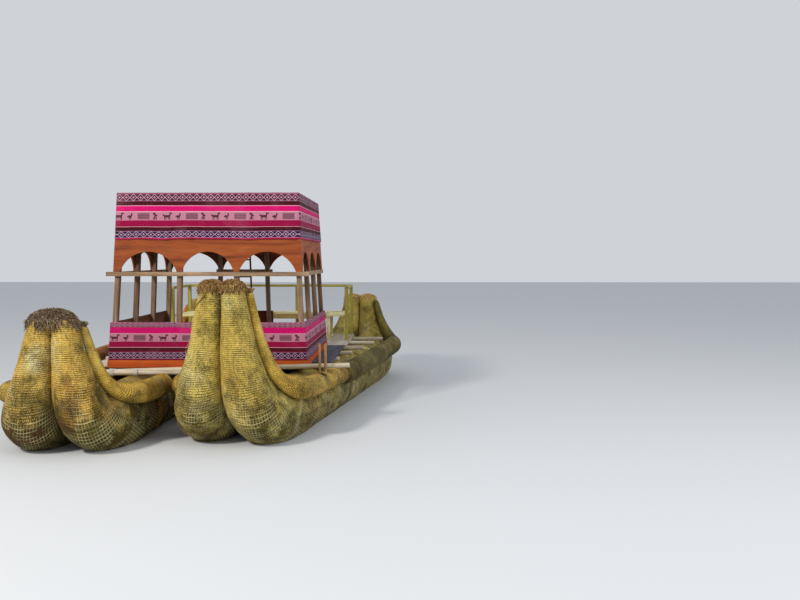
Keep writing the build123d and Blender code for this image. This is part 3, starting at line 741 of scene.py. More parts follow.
def bowCut(hull, place):
    # Where a bow gunwale is cut, along its own hull: the outer ends at one line across the boat,
    # and the inner ahead of the front pole by each hull's own cut.
    across = rollLook["outerBowEnd"] if place == "outer" else rollLook["frontPoleY"] - hull["innerCut"]
    return across - hull["centreY"]


for hullNumber, hull in enumerate(hulls):
    centre, radius, way, length = hullPath(hull)
    around, sideName = hullLook["around"], hull["side"]
    for place, side in (("outer", hull["outboard"]), ("inner", -hull["outboard"])):
        offset = side * (radius * hullLook["bundleOffset"] / hullLook["bundleRadius"])
        seed = 11 + 5 * hullNumber + (2 if place == "outer" else 0)
        girth = radius - hullLook["shrink"]
        points, uv = reedColumn(centre, offset, way, girth, length, around, seed, hullLook["lumps"], side)
        material = reedMaterials["portBundle" if sideName == "port" else "bundle"]
        thing = makePiece(
            f"{sideName}_{place}_reeds", setDown(hull, points).reshape(-1, 3),
            gridFaces(len(length), around, True), uv.reshape(-1, 2), material,
            closeEnds(len(length), around),
        )
        dress(thing, "reed_bundle", f"{sideName}_{place}_bundle")
        roll = gunwalePath(hull, side, rollLook["bowLift"], rollLook["bowRadius"])
        keep = (roll[0][:, 0] < bowCut(hull, place)) & (roll[4] > rollLook["tipStart"])
        makeRoll(
            f"{sideName}_{place}_bow_roll", hull, roll, keep, False, rollLook["bowAround"], seed + 40,
            reedMaterials["gunwale"], f"{sideName}_{place}_bow_gunwale",
        )
    startY = rollLook["outerBowEnd"] + rollLook["sideGap"] - hull["centreY"]
    roll = gunwalePath(hull, hull["outboard"], hull["sideLift"], rollLook["sideRadius"])
    keep = (roll[0][:, 0] > startY) & (roll[4] < roll[4][-1] - rollLook["tipStart"])
    makeRoll(
        f"{sideName}_side_roll", hull, roll, keep, True, rollLook["sideAround"], 71 + hullNumber,
        reedMaterials["orange" if sideName == "port" else "olive"], f"{sideName}_side_gunwale",
    )
    bowLook = portCapLook if sideName == "port" else capLook
    for end, look, finish in (("bow", bowLook, sideName), ("stern", sternLook, "stern")):
        frayedCap(
            f"{sideName}_{end}_frayed_ends", hull, (centre, radius, way), end == "bow", look,
            capMaterials[finish], f"{sideName}_{end}_cap",
        )
print("hulls made")

# Frayed reed stands on the gunwales' cut ends and tips.
frayLook = {
    "cut": {"count": 210, "reach": 0.030, "girth": 0.0030, "toss": 0.35, "spread": 1.0, "share": 0.62},
    "tip": {"count": 160, "reach": 0.045, "girth": 0.0036, "toss": 0.45, "spread": 1.15, "share": 0.75},
    "shades": [
        (0.0, srgb(196, 120, 34)), (0.25, srgb(222, 160, 66)),
        (0.5, srgb(150, 84, 28)), (0.75, srgb(232, 186, 100)),
    ],
}
cutMaterial = frayMaterial("cut_reed_ends", dict(capLook, shades=frayLook["shades"]))


def discFray(middle, out, size, look, seed):
    # Short reeds at random places of a disc, set on a low dome, pointing out of it and tossed about.
    rng = np.random.default_rng(seed)
    size, count, reach = size * look["spread"], look["count"], look["reach"]
    out = np.asarray(out, float) / np.linalg.norm(out)
    helper = np.array([1.0, 0.0, 0.0]) if abs(out[0]) < 0.9 else np.array([0.0, 1.0, 0.0])
    side = np.cross(out, helper)
    side /= np.linalg.norm(side)
    up = np.cross(out, side)
    share = np.sqrt(rng.uniform(0, 1, count))
    turn = rng.uniform(0, 2 * math.pi, count)
    flat = (np.cos(turn)[:, None] * side + np.sin(turn)[:, None] * up) * share[:, None]
    ways = out + flat * 0.35 + rng.normal(0, look["toss"], (count, 3))
    dome = np.sqrt(np.clip(1.02 - share**2, 0, 1))[:, None] * out * size * 0.25
    lengths = reach * rng.uniform(0.5, 1.4, count)
    starts = middle + flat * size + dome - out * reach * 0.8
    return stickCloud(starts, ways, lengths, look["girth"] * rng.uniform(0.7, 1.4, count))


def rollEnds(hull):
    # The middle, direction and radius of each cut end and each tip of a hull's bow gunwales.
    cuts, tips = [], []
    for place, side in (("outer", hull["outboard"]), ("inner", -hull["outboard"])):
        line, across, own, way, length = gunwalePath(hull, side, rollLook["bowLift"], rollLook["bowRadius"])
        last = np.nonzero(line[:, 0] < bowCut(hull, place))[0][-1]
        first = np.nonzero(length > rollLook["tipStart"])[0][0]
        for found, kind, at, outward in ((cuts, "cut", last, 1), (tips, "tip", first, -1)):
            middle, out = np.array([across[at], *line[at]]), outward * np.array([0, *way[at]])
            found.append((middle, out, own[at] * frayLook[kind]["share"]))
    return cuts, tips


for hullNumber, hull in enumerate(hulls):
    cuts, tips = rollEnds(hull)
    for found, kind, seed, pieceName, material in (
        (cuts, "cut", 300, "cut_roll_ends", cutMaterial),
        (tips, "tip", 400, "roll_tip_fray", capMaterials[hull["side"]]),
    ):
        seed += hullNumber * 10
        shapes = [discFray(*end, frayLook[kind], seed + number) for number, end in enumerate(found)]
        points, quads, triangles = gathered(shapes)
        name, points = f"{hull['side']}_{pieceName}", setDown(hull, points)
        dress(makePiece(name, points, quads, None, material, triangles, smooth=False), "reed_ends")
print("cut ends frayed")


def surfaceLine(hull, side, steps, turns, lift):
    # Places on a bundle's skin: at each step from the bow tip the circle's point at that angle,
    # lifted off by a little.
    centre, radius, way, length = hullPath(hull)
    offset = side * np.interp(steps, length, radius) * hullLook["bundleOffset"] / hullLook["bundleRadius"]
    size = np.interp(steps, length, radius) + lift
    middle = np.stack([np.interp(steps, length, centre[:, column]) for column in (0, 1)], -1)
    along = np.stack([np.interp(steps, length, way[:, column]) for column in (0, 1)], -1)
    along /= np.linalg.norm(along, axis=1, keepdims=True)
    x = offset + size * np.cos(turns)
    y = middle[:, 0] - along[:, 1] * size * np.sin(turns)
    z = middle[:, 1] + along[:, 0] * size * np.sin(turns)
    return setDown(hull, np.stack([x, y, z], -1))


def plainMaterial(name, tone, dark, roughness):
    # Fine fibre: two tones by fine noise, with a matching relief.
    material, tree, shader = newMaterial(name, roughness, 0.2)
    fibre = noise(tree, objectPlace(tree), 160.0, 3.0, 0.7)
    tree.links.new(mixColour(tree, stretch(tree, fibre, 0.4, 0.65), tone, dark), shader.inputs["Base Color"])
    bumped(tree, shader, fibre, 0.5, 0.002)
    return material


# A thin dark cord goes round the inner bundle under the starboard prow's tip
cordLook = {
    "head": 0.115, "foot": 0.340, "startTurn": -88.0, "sweep": -140.0, "radius": 0.0045, "lift": 0.001,
}
darkCord = plainMaterial("dark_cord", srgb(30, 26, 24), srgb(10, 8, 8), 0.7)
share = np.linspace(0, 1, 60)
cordSteps = cordLook["head"] + (cordLook["foot"] - cordLook["head"]) * np.sin(share * math.pi / 2)
cordTurns = np.radians(cordLook["startTurn"] + cordLook["sweep"] * share)
cordLine = surfaceLine(hulls[1], -1, cordSteps, cordTurns, cordLook["radius"] + cordLook["lift"])
points, quads, triangles, _ = tubeAlong(cordLine, cordLook["radius"], 8)
dress(makePiece("starboard_prow_cord", points, quads, None, darkCord, triangles), None)

# White rope lashes the level front pole: close turns round it, and a crumpled tail beside them.
# The pole's two places are its ends in the part.
lashLook = {
    "places": [-1.190, -0.880, 0.250], "poleStart": (-1.780, -2.265, 0.8353),
    "poleStop": (0.470, -2.132, 0.8353), "radius": 0.0048, "around": 7,
    "turns": 5, "pitch": 0.0105, "reach": 0.0405, "drop": 0.002, "coilSteps": 110,
    "tail": 0.9, "tailPitch": 0.16, "tailSpread": 0.050, "tailStretch": (1.3, 0.45, 0.225),
    "tailStart": (0, -0.012, 0.028), "tailEase": 0.06, "tailSteps": 130,
}
ropeMaterial = plainMaterial("pale_rope", srgb(228, 224, 214), srgb(150, 144, 132), 0.9)


def lashing(x, seed):
    # A coil round the pole, its turns side by side, and a tail whose line wanders on all three
    # axes by slow random waves that start from nothing.
    look = lashLook
    poleStart, poleStop = np.array(look["poleStart"]), np.array(look["poleStop"])
    middle = poleStart + (poleStop - poleStart) * (x - poleStart[0]) / (poleStop[0] - poleStart[0])
    turn = np.linspace(0, look["turns"] * 2 * math.pi, look["coilSteps"])
    aside = (turn / (2 * math.pi) - look["turns"] / 2) * look["pitch"]
    reach = look["reach"]
    coil = middle + home + np.stack([aside, reach * np.cos(turn), reach * np.sin(turn) - look["drop"]], -1)
    gone = np.linspace(0, look["tail"], look["tailSteps"])
    waves = [wander(gone, seed + axis, look["tailPitch"], look["tailSpread"]) for axis in range(3)]
    loose = np.stack(waves, -1) * look["tailStretch"] * np.minimum(gone / look["tailEase"], 1)[:, None]
    tail = coil[-1] + np.array(look["tailStart"]) + loose
    return [tubeAlong(line, look["radius"], look["around"])[:3] for line in (coil, tail)]


shapes = [shape for number, x in enumerate(lashLook["places"]) for shape in lashing(x, 500 + number * 3)]
points, quads, triangles = gathered(shapes)
dress(makePiece("pale_rope_lashings", points, quads, None, ropeMaterial, triangles), None)

# Loose sticks hang down the port inner bundle from under the cut end of its gunwale
stickLook = {
    "count": 9, "radius": 0.0045, "thin": 0.4, "from": (-0.18, 0.03), "sway": 0.05,
    "topTurn": (14, 22), "fall": (28, 55), "lift": 0.009,
}
stickMaterial = plainMaterial("loose_sticks", srgb(206, 150, 70), srgb(90, 56, 24), 0.8)
rng = np.random.default_rng(77)
portHull = hulls[0]
portCentre, _, _, portLength = hullPath(portHull)
cutY = bowCut(portHull, "inner")
share = np.linspace(0, 1, 14)
shapes = []
for _ in range(stickLook["count"]):
    start = float(np.interp(cutY + rng.uniform(*stickLook["from"]), portCentre[:, 0], portLength))
    top = math.radians(rng.uniform(*stickLook["topTurn"]))
    fall = math.radians(rng.uniform(*stickLook["fall"]))
    steps = start + rng.uniform(-stickLook["sway"], stickLook["sway"]) * share
    line = surfaceLine(portHull, 1, steps, top - fall * share, stickLook["lift"])
    shapes.append(tubeAlong(line, stickLook["radius"] * (1 - stickLook["thin"] * share), 6)[:3])
points, quads, triangles = gathered(shapes)
dress(makePiece("loose_sticks", points, quads, None, stickMaterial, triangles), "reed_ends")

# Wisps of broken reed lie along the bundles' skins
wispLook = {
    "count": 420, "reach": 0.055, "radius": 0.0022, "taper": 0.5, "around": 4, "endGap": 0.15,
    "turns": (-88, 70), "step": 0.05, "sway": 0.08, "lift": 0.001, "rise": 0.011, "toss": 0.09,
}
wispMaterial = plainMaterial("reed_wisps", srgb(236, 214, 140), srgb(150, 116, 50), 0.85)


def wisps(hull, seed):
    # Each starts at a random place of a bundle's skin and aims at a place a step further along
    # and a little higher off the skin, then is tossed about.
    look = wispLook
    rng = np.random.default_rng(seed)
    full, count = hullPath(hull)[3][-1], look["count"]
    starts, aims = [], []
    for side in (-1, 1):
        steps = rng.uniform(look["endGap"], full - look["endGap"], count)
        away = np.radians(rng.uniform(*look["turns"], count))
        turns = away if side > 0 else math.pi - away
        further = steps + rng.choice([-look["step"], look["step"]], count)
        turned = turns + rng.normal(0, look["sway"], count)
        here = surfaceLine(hull, side, steps, turns, look["lift"])
        starts.append(here)
        aims.append(surfaceLine(hull, side, further, turned, look["lift"] + look["rise"]) - here)
    starts, aims = np.concatenate(starts), np.concatenate(aims)
    aims = aims / np.linalg.norm(aims, axis=1, keepdims=True) + rng.normal(0, look["toss"], aims.shape)
    lengths = look["reach"] * rng.uniform(0.4, 1.3, len(starts))
    girths = look["radius"] * rng.uniform(0.6, 1.3, len(starts))
    return stickCloud(starts, aims, lengths, girths, look["taper"], look["around"])


for hullNumber, hull in enumerate(hulls):
    points, quads, triangles = wisps(hull, 900 + hullNumber)
    name = f"{hull['side']}_reed_wisps"
    dress(makePiece(name, points, quads, None, wispMaterial, triangles, smooth=False), "reed_ends")
print("cords, lashings, sticks and wisps added")


# Cloths. The stripes run by the share of the height, 0 at the top and 1 at the hem.
def bandMask(tree, value, start, stop):
    # 1 between two values and 0 elsewhere: above the first times below the second.
    above, below = calc(tree, "GREATER_THAN", value, start), calc(tree, "LESS_THAN", value, stop)
    return calc(tree, "MULTIPLY", above, below)


def boxMask(tree, x, y, box):
    # 1 inside a small rectangle of a cell: the larger of the two scaled distances is under one.
    left, right, top, bottom = box
    offX = calc(tree, "ABSOLUTE", calc(tree, "SUBTRACT", x, (left + right) / 2))
    offY = calc(tree, "ABSOLUTE", calc(tree, "SUBTRACT", y, (top + bottom) / 2))
    farX = calc(tree, "DIVIDE", offX, (right - left) / 2)
    farY = calc(tree, "DIVIDE", offY, (bottom - top) / 2)
    return calc(tree, "LESS_THAN", calc(tree, "MAXIMUM", farX, farY), 1.0)


def diamonds(tree, across, share, band):
    # Where a row of outlined diamonds is drawn: twice the distance from the band's middle plus
    # twice the distance from the cell's middle is near one. Each has a small core, and the band
    # has thin edges.
    start, stop, pitch = band
    local = fromHalf(tree, between(tree, share, start, stop))
    aside = fromHalf(tree, calc(tree, "FRACT", calc(tree, "DIVIDE", across, pitch)))
    total = calc(tree, "MULTIPLY", calc(tree, "ADD", local, aside), 2.0)
    outline = calc(tree, "LESS_THAN", calc(tree, "ABSOLUTE", calc(tree, "SUBTRACT", total, 0.95)), 0.13)
    core, edge = calc(tree, "LESS_THAN", total, 0.34), calc(tree, "GREATER_THAN", local, 0.46)
    return calc(tree, "MAXIMUM", calc(tree, "MAXIMUM", outline, core), edge)


def figures(tree, across, share, look):
    # Where the woven figures are drawn: any of the small boxes of a cell that repeats along the
    # cloth, or a lined block beside them, within the figures' own band.
    start, stop = look["figureBand"]
    local = between(tree, share, start, stop)
    moved = calc(tree, "DIVIDE", calc(tree, "ADD", across, look["figureShift"]), look["figurePitch"])
    cell = calc(tree, "MULTIPLY", calc(tree, "FRACT", moved), look["figurePitch"])
    lines, gap = look["blockLines"]
    rows = calc(tree, "GREATER_THAN", calc(tree, "FRACT", calc(tree, "MULTIPLY", local, lines)), gap)
    block = calc(tree, "MULTIPLY", boxMask(tree, cell, local, look["block"]), rows)
    drawn = calc(tree, "MULTIPLY", block, look["blockTone"])
    for box in look["figures"]:
        drawn = calc(tree, "MAXIMUM", drawn, boxMask(tree, cell, local, box))
    return calc(tree, "MULTIPLY", drawn, bandMask(tree, share, start, stop))


def clothMaterial(name, look):
    # Woven cloth: stripes by the share of the height, which wavers a little, with diamonds and
    # figures over them, then darker threads, faded patches and a fine ribbed relief.
    material, tree, shader = newMaterial(name, 0.92, 0.12)
    uv = uvPlace(tree)
    across, share, _ = parts(tree, uv)
    slack = calc(tree, "SUBTRACT", noise(tree, uv, (3.0, 1.5, 1.0), 2.0), 0.5)
    share = calc(tree, "ADD", share, calc(tree, "MULTIPLY", slack, look["waver"]))
    colour = ramp(tree, share, look["bands"], "CONSTANT")
    for start, stop, pitch, ground, line in look["diamonds"]:
        shown = calc(tree, "MULTIPLY", diamonds(tree, across, share, (start, stop, pitch)), 0.85)
        woven = mixColour(tree, shown, ground, line)
        colour = mixColour(tree, bandMask(tree, share, start, stop), colour, woven)
    drawn = calc(tree, "MULTIPLY", figures(tree, across, share, look), 0.92)
    colour = mixColour(tree, drawn, colour, look["figureColour"])
    thread = noise(tree, uv, (40.0, 260.0, 1.0), 2.0)
    colour = mixColour(tree, stretch(tree, thread, 0.4, 0.7, 0.0, 0.35), colour, look["shade"], "MULTIPLY")
    faded = noise(tree, uv, (2.4, 1.2, 1.0), 4.0, 0.6)
    colour = mixColour(tree, stretch(tree, faded, 0.5, 0.78, 0.0, 0.10), colour, look["fade"])
    tree.links.new(colour, shader.inputs["Base Color"])
    shader.inputs["Sheen Weight"].default_value = 0.08
    shader.inputs["Sheen Roughness"].default_value = 0.5
    weaveNode = tree.nodes.new("ShaderNodeTexWave")
    weaveNode.wave_type = "BANDS"
    weaveNode.bands_direction = "Y"
    feed(tree, weaveNode.inputs["Vector"], scaled(tree, uv, (1.0, 0.6, 1.0)))
    weaveNode.inputs["Scale"].default_value = 60.0
    weaveNode.inputs["Distortion"].default_value = 1.5
    weaveNode.inputs["Detail"].default_value = 2.0
    relief = calc(tree, "ADD", weaveNode.outputs["Fac"], calc(tree, "MULTIPLY", thread, 1.2))
    bumped(tree, shader, relief, 0.5, 0.003)
    return material


hotPink, crimson, maroon = srgb(206, 8, 104), srgb(146, 4, 62), srgb(78, 12, 28)
blackish, rose, paleLine, wine = srgb(34, 10, 18), srgb(186, 124, 144), srgb(212, 166, 176), srgb(112, 16, 46)
figureMarks = [  # boxes: left and right in metres along the cell, top and bottom in shares of the band
    (0.222, 0.240, 0.10, 0.90), (0.206, 0.228, 0.08, 0.34), (0.236, 0.262, 0.30, 0.54),
    (0.208, 0.218, 0.60, 0.94), (0.246, 0.256, 0.60, 0.94),  # an upright mark
    (0.352, 0.436, 0.36, 0.66), (0.356, 0.368, 0.60, 0.94), (0.376, 0.385, 0.60, 0.92),
    (0.408, 0.417, 0.60, 0.92), (0.424, 0.436, 0.60, 0.94), (0.424, 0.440, 0.08, 0.50),
    (0.430, 0.460, 0.06, 0.24), (0.336, 0.354, 0.28, 0.50),  # a long-necked animal
    (0.520, 0.566, 0.40, 0.70), (0.556, 0.576, 0.14, 0.48), (0.532, 0.543, 0.62, 0.94),
    (0.506, 0.524, 0.46, 0.62), (0.552, 0.561, 0.62, 0.94),  # a small animal
]
valanceLook = {
    "bands": [
        (0.0, srgb(138, 30, 78)), (0.018, srgb(120, 80, 100)), (0.18, maroon), (0.20, blackish),
        (0.215, maroon), (0.245, blackish), (0.255, wine), (0.272, paleLine), (0.284, hotPink),
        (0.395, paleLine), (0.412, rose), (0.590, crimson), (0.725, paleLine), (0.734, wine),
        (0.745, blackish), (0.765, maroon), (0.785, blackish), (0.805, wine),
        (0.82, srgb(104, 76, 108)), (0.968, srgb(196, 16, 86)),
    ],
    "diamonds": [
        (0.022, 0.178, 0.094, srgb(70, 22, 44), srgb(196, 150, 170)),
        (0.825, 0.966, 0.100, srgb(40, 16, 46), srgb(190, 156, 184)),
    ],
    "figureBand": (0.415, 0.590), "figurePitch": 0.645, "figureShift": 0.10, "figures": figureMarks,
    "block": (0.0, 0.160, 0.14, 0.88), "blockLines": (4.2, 0.20), "blockTone": 0.85,
    "figureColour": srgb(62, 16, 32), "shade": (0.55, 0.5, 0.55, 1), "fade": srgb(236, 170, 190),
    "waver": 0.012,
}
parapetLook = dict(
    valanceLook,
    bands=[
        (0.0, srgb(150, 84, 110)), (0.115, blackish), (0.125, hotPink), (0.145, srgb(200, 8, 104)),
        (0.285, paleLine), (0.295, rose), (0.505, crimson), (0.655, paleLine), (0.667, wine),
        (0.68, blackish), (0.70, maroon), (0.735, blackish), (0.75, wine), (0.79, srgb(110, 76, 104)),
        (0.965, srgb(150, 20, 70)),
    ],
    diamonds=[
        (0.006, 0.112, 0.070, srgb(98, 24, 58), srgb(206, 160, 180)),
        (0.795, 0.96, 0.088, srgb(44, 14, 42), srgb(194, 154, 180)),
    ],
    figureBand=(0.300, 0.505), figureShift=0.44,
)
valanceMaterial = clothMaterial("woven_cloth_valance", valanceLook)
parapetMaterial = clothMaterial("woven_cloth_parapet", parapetLook)

valanceCut = {  # foot and top are over the deck, and creases are metres round from the rear's middle
    "foot": 1.680, "top": 2.294, "over": 0.004, "stand": 0.0262, "corner": 0.012, "flare": 0.008,
    "lip": 0.150, "lipStart": 0.012, "lipRipple": 0.0025, "thickness": 0.0014,
    "columns": 760, "rows": 26, "lipRows": 8,
    "fold": 0.0065, "least": -0.0010, "most": 0.012, "sag": 0.010,
    "creases": [1.62, 2.10, 2.92, 3.86, 4.62, 5.34, 6.26, 7.20, 8.30],
    "creaseDepth": 0.0045, "creaseWidth": 0.016,
}
parapetCut = {
    "foot": 0.074, "top": 0.570, "stand": 0.0250, "corner": 0.012, "thickness": 0.0014,
    "lip": 0.030, "lipStart": 0.006, "lipInset": 0.026, "lipRise": 0.0035,
    "columns": 1100, "rows": 22, "lipRows": 5,
    "fold": 0.0035, "least": -0.003, "most": 0.008, "sag": 0.007,
}


def wallRing(halfX, halfY, corner, count):
    # Points round a rectangle with small round corners, evenly by distance, from the middle of
    # the rear side; each with the distance gone and the way outward.
    straightX, straightY = 2 * (halfX - corner), 2 * (halfY - corner)
    arc = corner * math.pi / 2
    total = 2 * straightX + 2 * straightY + 4 * arc
    gone = np.linspace(0, total, count, endpoint=False)
    x, y, nx, ny = (np.zeros(count) for _ in range(4))
    start = 0.0
    sides = [  # length, first point, way along and way outward
        (straightX / 2, (0, halfY), (-1, 0), (0, 1)),
        (straightY, (-halfX, halfY - corner), (0, -1), (-1, 0)),
        (straightX, (-halfX + corner, -halfY), (1, 0), (0, -1)),
        (straightY, (halfX, -halfY + corner), (0, 1), (1, 0)),
        (straightX / 2, (halfX - corner, halfY), (-1, 0), (0, 1)),
    ]
    for number, (reach, begin, step, outward) in enumerate(sides):
        here = (gone >= start) & (gone <= start + reach)
        run = gone[here] - start
        x[here], y[here] = begin[0] + step[0] * run, begin[1] + step[1] * run
        nx[here], ny[here] = outward
        start += reach
        if number < 4:
            here = (gone > start) & (gone < start + arc)
            angle = (gone[here] - start) / corner
            stop = (begin[0] + step[0] * reach, begin[1] + step[1] * reach)
            pivot = (stop[0] - outward[0] * corner, stop[1] - outward[1] * corner)
            nx[here] = outward[0] * np.cos(angle) + step[0] * np.sin(angle)
            ny[here] = outward[1] * np.cos(angle) + step[1] * np.sin(angle)
            x[here], y[here] = pivot[0] + corner * nx[here], pivot[1] + corner * ny[here]
            start += arc
    return gone, total, x, y, nx, ny


def thicken(thing, amount):
    # Gives a sheet its thickness, half to each side.
    shell = thing.modifiers.new("cloth", "SOLIDIFY")
    shell.thickness = amount
    shell.offset = 0


def clothPiece(name, px, py, pz, gone, share, closed, material, thickness):
    # A grid of places over the deck as a cloth: its pattern runs by metres along and share down.
    points = np.stack([px, py + pavilion["middleY"], pz + pavilion["deckTop"]], -1).reshape(-1, 3) + home
    uv = np.stack(np.broadcast_arrays(gone[None, :], share[:, None] * 0.999), -1).reshape(-1, 2)
    thing = makePiece(name, points, gridFaces(len(share), len(gone), closed), uv, material)
    thicken(thing, thickness)
    return thing


def clothRows(cut, height):
    # Distances up a cloth from its hem: even rows to its height, then closer ones over its lip.
    lip = np.linspace(cut["lipStart"], cut["lip"], cut["lipRows"])
    return np.concatenate([np.linspace(0, height, cut["rows"]), height + lip])


def makeValance():
    # A ring of cloth: each row is the wall's outline at one height plus the stand off, waved
    # outward by slow folds that grow to the hem and by narrow bell-shaped creases; the last
    # rows turn over the roof's edge.
    cut, splay = valanceCut, pavilion["splay"]
    topX = pavilion["halfWidth"] - splay * cut["top"] + cut["stand"]
    topY = pavilion["halfLength"] - splay * cut["top"] + cut["stand"]
    gone, total, x, y, nx, ny = wallRing(topX, topY, cut["corner"], cut["columns"])
    height = cut["top"] + cut["over"] - cut["foot"]
    rows = clothRows(cut, height)
    up, inset = np.minimum(rows, height), np.maximum(rows - height, 0)
    hangs = inset[:, None] == 0
    low = (1 - up / height)[:, None]
    fold = wander(gone[None, :] + 0.05 * low, 5, 0.42, 1.0) + 0.5 * wander(gone[None, :], 9, 0.16, 1.0)
    fold = np.clip(cut["fold"] * fold * (0.15 + 0.85 * low) * hangs, cut["least"], cut["most"])
    away = (gone[:, None] - np.array(cut["creases"])[None, :]) / cut["creaseWidth"]
    fold = fold + cut["creaseDepth"] * np.exp(-(away**2)).sum(1)[None, :] * (0.4 + 0.6 * low) * hangs
    push = (splay * (height - up))[:, None] + cut["flare"] * low + fold
    insideX, insideY = (topX - inset)[:, None], (topY - inset)[:, None]
    px = np.where(hangs, x[None, :] + nx[None, :] * push, np.clip(x[None, :], -insideX, insideX))
    py = np.where(hangs, y[None, :] + ny[None, :] * push, np.clip(y[None, :], -insideY, insideY))
    sag = cut["sag"] * wander(gone, 21, 0.85, 1.0)[None, :] * low**2 * hangs
    ripple = cut["lipRipple"] * wander(gone, 33, 0.5, 1.0)[None, :] * ~hangs
    pz = (cut["foot"] + up)[:, None] - sag + ripple
    thing = clothPiece("valance_weave", px, py, pz, gone, low[:, 0], True, valanceMaterial, cut["thickness"])
    dress(thing, "woven_cloth", "valance_cloth")


def makeParapetCloth():
    # A U of cloth round the front and both sides: each row is the outline at the top, widened
    # by the wall's lean, plus slight folds along the outward way; its top edge is turned over.
    cut, splay = parapetCut, pavilion["splay"]
    height = cut["top"] - cut["foot"]
    topX = pavilion["halfWidth"] - splay * cut["top"] + cut["stand"]
    topY = pavilion["halfLength"] - splay * cut["top"] + cut["stand"]
    gone, total, x, y, nx, ny = wallRing(topX, topY, cut["corner"], cut["columns"])
    keep = ny < 0.5
    gone, x, y, nx, ny = (values[keep] for values in (gone, x, y, nx, ny))
    rows = clothRows(cut, height)
    up = np.minimum(rows, height)
    turn = np.clip((rows - height) / cut["lip"], 0, 1)[:, None]
    share = 1 - up / height
    outward = (splay * (height - up))[:, None] - cut["lipInset"] * turn
    fold = wander(gone[None, :] + 0.04 * share[:, None], 51, 0.36, 1.0)
    fold = fold + 0.4 * wander(gone[None, :], 59, 0.13, 1.0)
    fold = np.clip(cut["fold"] * fold, cut["least"], cut["most"]) * (1 - turn)
    px = x[None, :] * (1 + outward / topX) + nx[None, :] * fold
    py = y[None, :] * (1 + outward / topY) + ny[None, :] * fold
    sag = cut["sag"] * (0.6 + wander(gone, 63, 0.5, 1.0))[None, :] * (up / height)[:, None] ** 3 * (1 - turn)
    pz = (cut["foot"] + up)[:, None] + cut["lipRise"] * np.sin(turn * math.pi / 2) - sag
    thing = clothPiece("parapet_weave", px, py, pz, gone, share, False, parapetMaterial, cut["thickness"])
    dress(thing, "woven_cloth", "parapet_cloth")


makeValance()
makeParapetCloth()
print("cloths hung")


# Wood. Grain runs along one axis of the object; boards differ a little, island by island.
def woodMaterial(name, look):
    # Dark to light along broad bands, with fine dark streaks. Paint lies over it where blotches
    # and streaks together stay under the wear, raised a little, and grime over both.
    material, tree, shader = newMaterial(name, look["rough"], 0.2)
    place = objectPlace(tree)
    island = 0.3 if look["oneBoard"] else islandShare(tree)
    offset = calc(tree, "MULTIPLY", island, 7.3)
    moved = joined(tree, *(calc(tree, "ADD", value, offset) for value in parts(tree, place)))
    fine = tuple(3.0 if axis == look["grain"] else 70.0 for axis in "XYZ")
    coarse = tuple(0.9 if axis == look["grain"] else 9.0 for axis in "XYZ")
    streak = noise(tree, moved, fine, 4.0, 0.7, 0.3)
    broad = noise(tree, moved, coarse, 4.0, 0.6, 0.6)
    blot = noise(tree, place, 4.0, 5.0, 0.65)
    colour = ramp(tree, broad, [(0.30, look["dark"]), (0.5, look["body"]), (0.72, look["light"])])
    colour = mixColour(tree, stretch(tree, streak, 0.42, 0.68, 0.0, look["streak"]), colour, look["dark"])
    colour = mixColour(tree, stretch(tree, island, 0.0, 1.0, 0.0, look["vary"]), colour, look["light"])
    if "paint" in look:
        chips = calc(tree, "ADD", calc(tree, "MULTIPLY", blot, 0.6), calc(tree, "MULTIPLY", streak, 0.4))
        kept = stretch(tree, chips, look["wear"] - 0.03, look["wear"] + 0.03, 1.0, 0.0)
        tint = ramp(tree, broad, [(0.32, look["paintDark"]), (0.5, look["paint"]), (0.7, look["paintLight"])])
        tint = mixColour(tree, stretch(tree, streak, 0.45, 0.75, 0.0, 0.35), tint, look["paintDark"])
        colour = mixColour(tree, kept, colour, tint)
        tree.links.new(stretch(tree, kept, 0.0, 1.0, 0.85, look["rough"]), shader.inputs["Roughness"])
        raised = calc(tree, "MULTIPLY", kept, 0.8)
    else:
        raised = calc(tree, "MULTIPLY", broad, 0.4)
    grime = stretch(tree, blot, 0.52, 0.72, 0.0, look["grime"])
    colour = mixColour(tree, grime, colour, look["dirt"])
    tree.links.new(colour, shader.inputs["Base Color"])
    bumped(tree, shader, calc(tree, "ADD", raised, streak), 0.6, look["relief"])
    return material


bareWood = {
    "streak": 0.5, "vary": 0.25, "relief": 0.003, "rough": 0.8, "oneBoard": False, "dirt": srgb(60, 48, 36),
}


def woodLook(grain, dark, body, light, grime=0.3, **more):
    # Bare wood with its own screen colours; grain is the axis that the fibres follow.
    return dict(
        bareWood, grain=grain, dark=srgb(*dark), body=srgb(*body), light=srgb(*light), grime=grime, **more,
    )


orangePaint = woodLook(
    "X", (120, 70, 34), (160, 100, 50), (196, 136, 78), 0.2, wear=0.64, rough=0.6,
    paint=srgb(182, 78, 22), paintDark=srgb(140, 56, 16), paintLight=srgb(200, 102, 32),
)
# The arch panels' paint: the orange paint darkened as painted shade under the valance
shadedArchPaint = dict(
    orangePaint, oneBoard=True, relief=0.0006, streak=0.2,
    paint=srgb(140, 66, 24), paintDark=srgb(100, 44, 16), paintLight=srgb(160, 86, 36),
)
# The rear arch panel's paint darker still, as painted shade inside the pavilion
rearShadedArchPaint = dict(
    shadedArchPaint, paint=srgb(120, 52, 22), paintDark=srgb(80, 34, 18), paintLight=srgb(150, 74, 30),
)
postBrown = woodLook("Z", (70, 48, 38), (120, 92, 72), (168, 142, 116), 0.35, vary=0.3)
paleBoard = woodLook("Y", (120, 106, 90), (176, 164, 146), (216, 208, 192), 0.4, vary=0.35, relief=0.004)
darkBoard = woodLook("X", (60, 34, 22), (104, 58, 34), (140, 86, 52))
oliveRail = woodLook(
    "X", (120, 104, 60), (168, 150, 92), (200, 184, 130), 0.2, wear=0.60, rough=0.5,
    paint=srgb(164, 152, 66), paintDark=srgb(116, 108, 44), paintLight=srgb(192, 180, 96),
)
